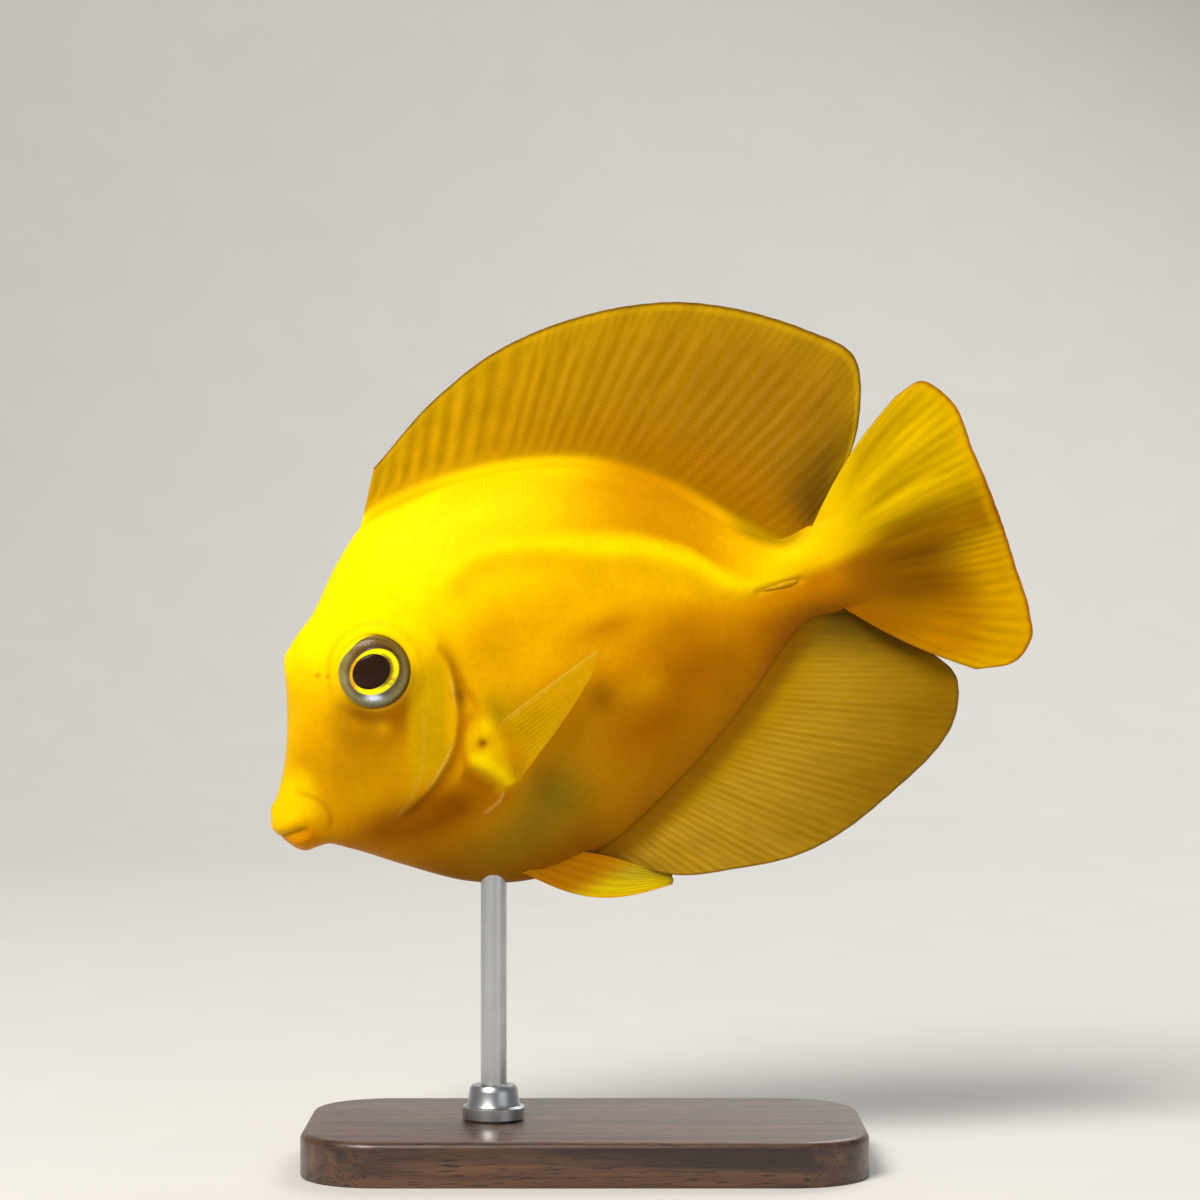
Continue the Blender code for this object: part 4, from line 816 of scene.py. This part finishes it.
def slab(name, columns, rows):
    """A thin closed slab: along it 0 to 1, out from its root 0 to 1, and which face, -1 or 1."""
    bpy.ops.object.select_all(action="DESELECT")
    bpy.ops.mesh.primitive_grid_add(x_subdivisions=columns, y_subdivisions=rows, size=2)
    piece = settle(name)
    bpy.ops.object.modifier_add(type="SOLIDIFY")
    piece.modifiers[-1].thickness, piece.modifiers[-1].offset = 0.1, 0
    bpy.ops.object.modifier_apply(modifier=piece.modifiers[-1].name)
    along, out, face = points_of(piece).T
    along, out, face = (along + 1) / 2, (out + 1) / 2, np.sign(face)
    # Each face of the slab gets its own half of the map, and the rim lies on the line round the first
    mesh = piece.data
    corners = np.empty(len(mesh.loops), int)
    mesh.loops.foreach_get("vertex_index", corners)
    sizes = np.empty(len(mesh.polygons), int)
    mesh.polygons.foreach_get("loop_total", sizes)
    owner = np.repeat(np.arange(len(sizes)), sizes)
    whole = np.abs(np.bincount(owner, face[corners])) > sizes - 0.5
    right_half = (face[corners] > 0) & whole[owner]
    flat = np.stack([0.01 + 0.48 * along[corners] + 0.5 * right_half, 0.01 + 0.98 * out[corners]], 1)
    mesh.uv_layers[0].data.foreach_set("uv", flat.astype(np.float32).ravel())
    mesh.uv_layers[0].name = "OFBake"
    return piece, along, 1 - (1 - out) ** ROOT_CROWD, face


def off_profile(curve, side):
    """A root just off the back or belly, as a function of x."""

    def at(x):
        slope = (curve(x + 0.2) - curve(x - 0.2)) / 0.4
        length = np.hypot(1, slope)
        sunk = REAR_SINK * blend(x, *REAR_SINK_PLACE)
        return x - side * ROOT_OFF * slope / length, curve(x) + side * (ROOT_OFF / length - sunk)

    return at


def ray_share(ray, count, spines, spines_share):
    """Place of a ray along the fin's root, for any number from 0, also between two rays."""
    soft = spines_share + (1 - spines_share) * (ray - spines) / (count - 1 - spines)
    return np.where(ray < spines, spines_share * ray / max(spines, 1), soft)


def fin_places(keys, root_point, share, out, sunk, notch):
    """Side-view x and z over a fin, how far out along the ray, from 0, and the ray's length."""
    roots = np.array([root_point(key[0]) for key in keys])
    steps = np.cumsum([0, *np.hypot(*np.diff(roots, axis=0).T)])
    curves = [smooth_curve(list(zip(steps / steps[-1], column))) for column in zip(*keys)]
    root, tip_x, tip_z, bow = (curve(share) for curve in curves)
    root_x, root_z = root_point(root)
    reach_x, reach_z = tip_x - root_x, tip_z - root_z
    length = np.hypot(reach_x, reach_z)
    out = out * (1 + sunk / length) - sunk / length
    cut = out * (1 - notch)
    bow = bow * np.sin(math.pi * np.clip(cut, 0, 1)) / length
    return root_x + reach_x * cut - reach_z * bow, root_z + reach_z * cut + reach_x * bow, out, length


def fin_cast(name, keys, root_point, rays, mesh_size, sunk=FIN_SUNK, notch=FIN_NOTCH,
             spines=0, spines_share=0.0):
    """A fin's slab with its side view laid out. It gives the slab and which face each point is on, the
    ray, its share of the root, x and z, the share out along the ray, and the lengths from the root
    and from the edge."""
    piece, along, out, face = slab(name, *mesh_size)
    ray = along * (rays - 1)
    share = ray_share(ray, rays, spines, spines_share)
    notches = notch * np.sin(math.pi * ray) ** 2
    x, z, out, length = fin_places(keys, root_point, share, out, sunk, notches)
    return piece, face, ray, share, x, z, out, np.maximum(out, 0) * length, (1 - out) * length


def ray_relief(ray, out, first_soft=0, fork=(0.5, 0.85)):
    """1 on a ray and 0 in the groove between two. A soft ray forks in two between two shares of it."""
    forked = blend(out, *fork) * (ray > first_soft - 0.5)
    return 0.5 + 0.5 * ((1 - forked) * np.cos(2 * math.pi * ray) - forked * np.cos(4 * math.pi * ray))


def fin_half(ridge, out, from_root, fillet=FILLET):
    """Half of a fin's thickness: ray, skin, and a fillet where it leaves the flesh."""
    far = np.clip(out, 0, 1)
    plain = SKIN_HALF + (EDGE_HALF - SKIN_HALF) * far
    return plain + RAY_HEIGHT * (1 - 0.6 * far) * ridge + fillet * np.exp(-from_root / FILLET_LENGTH)


def from_skin(coat, x, z, amount):
    """Lets the skin's colours run out over the root of a fin, where it is also less clear."""
    near = amount > 0
    skin_there = skin_coat(x[near], z[near], features(x[near], z[near]))
    coat[near] += (skin_there - coat[near]) * amount[near][:, None]
    coat[:, 3] = 1 - amount
    return coat


dorsal, face, ray, share, x, z, out, from_root, from_edge = fin_cast(
    "dorsal_fin_cast", DORSAL_FIN, off_profile(back, 1), DORSAL_RAYS, mesh_size=(432, 72),
    spines=DORSAL_SPINES, spines_share=DORSAL_SPINES_SHARE)
rear = blend(share, 0.1, 0.75)
strong = blend(from_root, *FULL_RAYS) * (1 - 0.4 * rear)
ridge = 1 - (1 - ray_relief(ray, out, DORSAL_SPINES, (0.7, 1))) * strong
wave = WAVE * np.sin(ray * 1.9) * blend(out, 0.2, 1)
y = bend(x) * (1 - 0.4 * out) + wave + face * fin_half(ridge, out, from_root)
put_points(dorsal, x, y, z)

coat = sprayed(
    all_over("#E2AE04", x),
    ("#AA7600", 0.95 * rear),
    ("#946600", 0.45 * (1 - ridge) * (1 - 0.4 * rear) * blend(from_root, 0.5, 3)),
    ("#CC9A38", 0.28 * rear * ridge ** 2 * blend(from_root, 2, 5)),
    ("#BC7A00", 0.6 * rear * bump(from_root - 4, 4)),
    ("#64460C", 0.9 * blend(share, 0.77, 0.93) * blend(out, 0.1, 0.5)),
    ("#C8A008", 0.3 * fall(from_edge, 1.5, 6)),
    ("#DDB010", 0.6 * bump(from_edge - 0.75, 0.4)),
    ("#6E4A14", 0.75 * fall(from_edge, 0.15, 0.45)),
)
paint(dorsal, from_skin(coat, x, z, fall(from_root, 0.0, 1.5)))

# Tinted cast resin: thin enough for some light to pass, so a fin glows a little from behind. Its
# surface is satin, with fine uneven streaks that follow the rays on the fin's own map.
FLOW_ACROSS, FLOW_ALONG, FLOW_DEPTH = 110, 5, 0.04     # streaks over the map's width and height
CLEARNESS = 0.3                # share of the light that passes where a fin is clear of the flesh
fin_resin, tree, place = new_material(
    "tinted_resin_fin", Roughness=0.5, Specular_IOR_Level=0.2, Specular_Tint=linear(VARNISH))
coat = add_node(tree, "Attribute", {}, "Color", attribute_name="coat")
clear = coat.node.outputs["Alpha"]
flow = add_node(tree, "Mapping", {
    "Vector": place.node.outputs["UV"], "Scale": (FLOW_ACROSS, FLOW_ALONG, 1)})
flow = add_node(tree, "TexNoise", {"Vector": flow, "Scale": 1.0, "Detail": 3.0})
tone = add_node(tree, "MapRange", {"Value": flow, 1: 0.3, 2: 0.7, 3: 0.9, 4: 1.08})
tone = add_node(tree, "Mix", {"Factor": clear, 2: 1.0, 3: tone}, data_type="FLOAT")
colour = add_node(tree, "Mix", {
    "Factor": 1.0, 6: coat, 7: tone}, 2, data_type="RGBA", blend_type="MULTIPLY")
flow = add_node(tree, "Bump", {"Height": flow, "Strength": 0.3, "Distance": FLOW_DEPTH * MM})
lay_on(tree, Base_Color=colour, Normal=flow)
glow = add_node(tree, "BsdfTranslucent", {"Color": colour})
glow = add_node(tree, "MixShader", {
    0: add_node(tree, "Math", {0: clear, 1: CLEARNESS}, operation="MULTIPLY"),
    1: tree.nodes["Principled BSDF"].outputs[0], 2: glow})
tree.links.new(glow, tree.nodes["Material Output"].inputs["Surface"])
fit(dorsal, fin_resin, "yellow_fins", "dorsal_fin")

# Anal fin: 28 rays under the belly, olive-yellow with pale stripes. Its rear lobe swings a little to
# the fish's right, and it is cast like the dorsal fin.
ANAL_FIN = (
    (33.6, 35.0, -19.0, 0.0), (36.5, 40.5, -22.9, 0.0), (40.0, 47.5, -24.9, 0.0),
    (44.0, 55.5, -26.0, 0.0), (50.0, 67.4, -23.2, 0.0), (55.5, 77.0, -18.2, 0.0),
    (58.5, 79.2, -13.9, 0.0), (62.5, 77.2, -9.0, 0.0), (69.3, 75.5, -3.2, 0.0),
)
ANAL_RAYS, ANAL_TURN = 28, 0.9
anal, face, ray, share, x, z, out, from_root, from_edge = fin_cast(
    "anal_fin_cast", ANAL_FIN, off_profile(belly, -1), ANAL_RAYS, mesh_size=(432, 64))
strong = 0.75 * blend(from_root, *FULL_RAYS) * (1 - 0.6 * blend(share, 0.5, 0.85))
ridge = 1 - (1 - ray_relief(ray, out, 2, (0, 0.15))) * strong * (0.8 + 0.2 * np.sin(2.3 * ray))
turned_out = ANAL_TURN * blend(share, 0.35, 0.9)
wave = WAVE * np.sin(ray * 1.7) * blend(out, 0.2, 1)
y = bend(x) * fall(out, 0, 0.7) + turned_out * out + wave + face * fin_half(ridge, out, from_root)
put_points(anal, x, y, z)

coat = sprayed(
    all_over("#C0940A", x),
    ("#C09000", 0.6 * fall(share, 0.1, 0.4)),
    ("#D0AA3C", 0.5 * ridge * blend(out, 0.1, 0.3) * (1 - 0.6 * blend(share, 0.3, 0.9))),
    ("#8A6404", 0.35 * (1 - ridge) * blend(from_root, 0.5, 3)),
    ("#8E6606", 0.8 * blend(out, 0.3, 1) * blend(share, 0.1, 0.5)),
    # Painted shadow of the tail fin over the rear of the fin
    ("#4E3410", 0.85 * blend(share, 0.72, 0.92)),
    ("#7C5A20", 0.75 * fall(from_edge, 0.15, 0.5)),
)
coat = from_skin(coat, x, z, fall(from_root, 0.0, 1.5))
# Painted shade along the root, where the fin meets the belly
paint(anal, sprayed(coat, ("#90600A", 0.85 * fall(from_root, 1.0, 3.4))))
fit(anal, fin_resin, "yellow_fins", "anal_fin")

# Tail fin: a fan of 17 forked rays from the end of the stalk, swung in a deep fold, with finer pleats
# in its upper half. Its upper part is painted bright, as painted light where the fold faces up, and a
# dark stripe of painted shade runs out under the middle, where it faces down.
TAIL_FIN = (                   # z of the root, x and z of the tip, and how far the ray bows upwards
    (8.7, 84.0, 19.2, 0.8), (8.1, 87.0, 19.8, 0.9), (7.3, 89.2, 17.0, 0.9), (5.7, 89.6, 10.0, 0.6),
    (3.7, 89.8, 2.5, 0.0), (1.5, 89.7, -4.0, -0.6), (0.4, 89.4, -9.3, -0.9), (-0.2, 88.5, -12.3, -0.9),
    (-0.8, 85.4, -14.1, -0.8), (-1.3, 81.4, -13.3, -0.6),
)
TAIL_RAYS, TAIL_FOLD, TAIL_ROOT_X = 17, 1.7, 69.8
TAIL_PLEATS, TAIL_PLEAT_DEPTH = 6.5, 0.3


def tail_root(z):
    return np.full(np.shape(z), TAIL_ROOT_X), z


tail, face, ray, share, x, z, out, from_root, from_edge = fin_cast(
    "tail_fin_cast", TAIL_FIN, tail_root, TAIL_RAYS, mesh_size=(340, 72))
clear = blend(x, 74, 79)           # no ray or fold stands out before the fin is clear of the flesh
ridge = 1 - (1 - ray_relief(ray, out)) * clear
pleat = np.cos(2 * math.pi * TAIL_PLEATS * share) * bump(out - 0.55, 0.35) * clear
pleat *= 1 - 0.7 * blend(share, 0.45, 0.6)
fold = TAIL_FOLD * out * np.sin(2 * math.pi * (share - 0.1)) * clear
# The stalk's flesh runs out over the fin: at the root by height alone, and farther out along the rays
root_z = TAIL_FIN[0][0] + (TAIL_FIN[-1][0] - TAIL_FIN[0][0]) * share
level = plain_width(np.minimum(x, SHEATH_START), z)[0]
fanned = plain_width(np.full(x.shape, SHEATH_START), root_z)[0]
flesh = thickness(x) * (level + (fanned - level) * blend(x, TAIL_ROOT_X, 75))
flesh *= 0.96 + 0.04 * blend(x, 68.3, 70)
y = bend(x) - fold + TAIL_PLEAT_DEPTH * pleat + face * np.hypot(fin_half(ridge, out, from_root, 0), flesh)
put_points(tail, x, y, z)

# Painted shade along the pleats, and in a stripe under the middle of the fold
pleat_shade = (0.5 - 0.5 * pleat) * blend(out, 0.1, 0.3)
fold_shade = bump(np.maximum(0, np.abs(share - 0.64) - 0.09), 0.1)
# Painted light on the upper part, and painted shade at the fold's middle and its lower root
coat = sprayed(
    all_over("#D9B000", x),
    ("#F2CC00", 0.85 * fall(share, 0.3, 0.5)),
    ("#A88200", 0.5 * pleat_shade * fall(share, 0.4, 0.6)),
    ("#A87200", 0.9 * bump(share - 0.49, 0.1)),
    ("#D08A00", 0.9 * blend(share, 0.6, 0.75)),
    ("#E6B200", 0.9 * blend(share, 0.5, 0.6) * blend(out, 0.62, 0.9)),
    ("#A06404", 0.85 * fall(out, 0.15, 0.6) * blend(share, 0.6, 0.75)),
    ("#8C5604", 0.97 * fold_shade * fall(out, 0.5, 0.9)),
    ("#784A04", 0.2 * bump(share - 0.5, 0.06) * blend(out, 0.08, 0.2) * fall(out, 0.6, 0.95)),
    ("#9A6C00", 0.25 * (1 - ridge)),
    ("#E8B400", 0.5 * bump(from_edge - 0.9, 0.5)),
    ("#A4500C", 0.75 * fall(from_edge, 0.15, 0.5)),
    ("#8A6A20", 0.5 * (bump(ray, 0.12) + bump(ray - TAIL_RAYS + 1, 0.12))),
)
paint(tail, from_skin(coat, x, z, fall(x, 70, 78)))
fit(tail, fin_resin, "yellow_fins", "tail_fin")

# Pectoral fins: 16 fine rays fan out of the fleshy base behind each gill cover and lie back over the
# flank. The skin between the rays is almost clear, so the flank's yellow shows through it.
PECTORAL_FIN = (
    (0.2, 41.8, 4.4, 0.1), (-1.2, 41.0, 2.8, 0.0), (-2.8, 38.6, 0.7, -0.1),
    (-4.4, 35.2, -1.8, -0.1), (-6.0, 31.4, -4.2, -0.1), (-7.0, 28.9, -5.8, 0.0),
)
PECTORAL_RAYS, PECTORAL_ROOT_X = 16, 26.9
# Its root lies deep in the flesh, comes clear of it over a length, and the tips stand off the flank
PECTORAL_ROOT_DEPTH, PECTORAL_CLEAR, PECTORAL_CLEAR_LENGTH, PECTORAL_LIFT = 1.2, 0.7, 1.6, 2.6
FILM_HALF, FILM_RAY, FILM_ROOT = 0.06, 0.03, 0.12      # half thickness of the film, its rays and its root
FILM_COVER, RAY_COVER, LEAD_COVER = 0.34, 0.12, 0.07   # how opaque the film, its rays and its edges are
FILM_MOTTLE, FILM_GRAIN, FILM_GRAIN_DEPTH = 0.9, 0.3, 0.03


def pectoral_root(z):
    return np.full(np.shape(z), PECTORAL_ROOT_X), z


clear_resin, tree, place = new_material(
    "clear_resin_fin", Roughness=0.45, Specular_IOR_Level=0.12, Specular_Tint=linear("#FFE070"))
coat = coloured(tree, uneven(tree, place, FILM_MOTTLE, 3.0, 0.9, 1.08))
grain = add_node(tree, "TexNoise", {"Vector": place, "Scale": 1 / (FILM_GRAIN * MM), "Detail": 2.0})
grain = add_node(tree, "Bump", {
    "Height": grain, "Strength": 0.25, "Distance": FILM_GRAIN_DEPTH * MM})
lay_on(tree, Alpha=coat.node.outputs["Alpha"], Normal=grain)

for side_sign, suffix in SIDES:
    piece, face, ray, share, x, z, out, from_root, from_edge = fin_cast(
        "pectoral_fin_cast_" + suffix, PECTORAL_FIN, pectoral_root, PECTORAL_RAYS,
        mesh_size=(160, 56), sunk=0, notch=2 * FIN_NOTCH)
    ridge = ray_relief(ray, out, 1)
    behind = blend(x, PECTORAL_ROOT_X, PECTORAL_ROOT_X + PECTORAL_CLEAR_LENGTH)
    lift = (PECTORAL_ROOT_DEPTH + PECTORAL_CLEAR) * behind - PECTORAL_ROOT_DEPTH
    middle = half_width(x, z) + lift + (PECTORAL_LIFT - PECTORAL_CLEAR) * out
    half = FILM_HALF + FILM_RAY * (1 - 0.5 * out) * ridge + FILM_ROOT * np.exp(-from_root)
    put_points(piece, x, side_sign * middle + face * half, z)
    leading = np.maximum(bump(ray, 0.6), 0.7 * bump(ray - PECTORAL_RAYS + 1, 0.6))
    coat = sprayed(all_over("#C89E00", x), ("#E0B000", 0.5 * ridge), ("#E8C448", 0.6 * leading))
    film = (FILM_COVER + RAY_COVER * ridge) * blend(from_root, 0.8, 4.5) * (1 - 0.3 * blend(out, 0.75, 1))
    coat[:, 3] = film + LEAD_COVER * leading * blend(from_root, 2, 7)
    paint(piece, coat)
    fit(piece, clear_resin, "yellow_fins", "pectoral_fin_" + suffix)

# Pelvic fins: a spine and 5 rays each, pointed, held back together under the belly. They are the
# brightest lemon, greyer above, with an orange edge and a dark tip.
PELVIC_FIN = (                 # x of the root, x and z of the tip, and how far the ray bows upwards
    (24.6, 40.2, -23.7, -2.2), (27.0, 40.5, -23.1, -1.4), (29.4, 40.0, -22.6, -0.5),
    (31.4, 38.6, -21.5, 0.3),
)
PELVIC_RAYS, PELVIC_ROOT_Z, PELVIC_ROOT_Y, PELVIC_SPREAD = 6, -16.4, 1.0, 1.9


def pelvic_root(x):
    return x, np.full(np.shape(x), PELVIC_ROOT_Z)


for side_sign, suffix in SIDES:
    piece, face, ray, share, x, z, out, from_root, from_edge = fin_cast(
        "pelvic_fin_cast_" + suffix, PELVIC_FIN, pelvic_root, PELVIC_RAYS,
        mesh_size=(96, 56), sunk=0)
    ridge = ray_relief(ray, out, 1)
    half = fin_half(ridge, out, from_root) * (1 + 0.8 * bump(ray, 0.7))
    put_points(piece, x, side_sign * (PELVIC_ROOT_Y + PELVIC_SPREAD * out) + face * half, z)
    coat = sprayed(
        all_over("#E6CC08", x),
        ("#8C8830", 0.65 * bump(share - 0.75, 0.3) * blend(out, 0.3, 0.5) * (1 - 0.5 * ridge)),
        ("#C89A10", 0.4 * (1 - ridge)),
        ("#BC800A", fall(from_root, 4, 9)),
        ("#E08A10", 0.7 * bump(ray, 0.25) * blend(out, 0.3, 0.6)),
        ("#9A8210", 0.4 * fall(from_edge, 0.5, 2.5)),
        ("#6A5418", 0.6 * fall(from_edge, 0.2, 0.7)),
    )
    paint(piece, from_skin(coat, x, z, 0.9 * fall(from_root, 2.5, 8)))
    fit(piece, fin_resin, "yellow_fins", "pelvic_fin_" + suffix)

# Studio, in metres: a pale matte sweep that curves up behind the model, lit by one large soft light
# from above and in front, a weak fill and a soft light from behind. None of it is part of the model.
SWEEP_WIDTH, SWEEP_FRONT, SWEEP_BACK, SWEEP_HEIGHT, SWEEP_CURVE = 3.0, -1.4, 0.8, 1.4, 0.35
bpy.ops.object.select_all(action="DESELECT")
bpy.ops.mesh.primitive_plane_add(size=1, location=(0, (SWEEP_FRONT + SWEEP_BACK) / 2, 0))
bpy.context.object.scale = (SWEEP_WIDTH, SWEEP_BACK - SWEEP_FRONT, 1)
sweep = settle("studio_sweep")
bevel_edges(sweep, lambda a, b: False, 0.001, 1)
for edge in sweep.data.edges:
    edge.select = all(sweep.data.vertices[i].co.y > 0 for i in edge.vertices)
bpy.ops.object.mode_set(mode="EDIT")
bpy.ops.mesh.extrude_region_move(TRANSFORM_OT_translate={"value": (0, 0, SWEEP_HEIGHT)})
bpy.ops.object.mode_set(mode="OBJECT")
back_edge = SWEEP_BACK / MM - 1
bevel_edges(sweep, lambda a, b: min(a.y, b.y) > back_edge and max(a.z, b.z) < 1, SWEEP_CURVE / MM, 24)
bpy.ops.object.shade_smooth()
paper, tree, place = new_material("matte_studio_paper", Roughness=0.9, Specular_IOR_Level=0.2)
fibres = add_node(tree, "TexNoise", {"Vector": place, "Scale": 60.0, "Detail": 4.0})
lay_on(tree, Base_Color=add_node(tree, "Mix", {
    "Factor": fibres, 6: linear("#DCDAD6"), 7: linear("#E2E0DC")}, 2, data_type="RGBA"))
sweep.data.materials.append(paper)


def soft_light(name, place, size, power, colour):
    """A square soft light, aimed at the fish."""
    bpy.ops.object.select_all(action="DESELECT")
    bpy.ops.object.light_add(type="AREA", location=place)
    light = bpy.context.object
    light.name, light.data.size, light.data.energy = name, size, power
    light.data.color = linear(colour)[:3]
    towards = np.array((0.0, 0.0, 0.06)) - place
    flat = math.hypot(towards[0], towards[1])
    turn = math.atan2(towards[1], towards[0]) - math.pi / 2
    light.rotation_euler = (math.atan2(flat, -towards[2]), 0, turn)


soft_light("key_light", (-0.30, -0.50, 0.62), 0.35, 7.6, "#FFFAF0")
soft_light("fill_light", (0.60, -0.60, 0.15), 0.60, 0.8, "#F4F6FF")
soft_light("back_light", (0.25, 0.50, 0.55), 0.40, 2.2, "#FFFFFF")
world = bpy.context.scene.world = bpy.data.worlds.new("studio")
world.use_nodes = True
glow = world.node_tree.nodes["Background"].inputs
glow["Color"].default_value, glow["Strength"].default_value = linear("#D8DCE4"), 0.25
bpy.context.scene.view_settings.view_transform = "Standard"

# Camera: level, square on to the fish's left side, as the photograph was taken.
VIEW_X, VIEW_Z, VIEW_DISTANCE = 1.72, 64.7, 383.3
bpy.ops.object.select_all(action="DESELECT")
bpy.ops.object.camera_add(
    location=(VIEW_X * MM, -VIEW_DISTANCE * MM, VIEW_Z * MM), rotation=(math.pi / 2, 0, 0))
camera = bpy.context.object
camera.data.lens, camera.data.sensor_width = 100.0, 36.0
bpy.context.scene.camera = camera
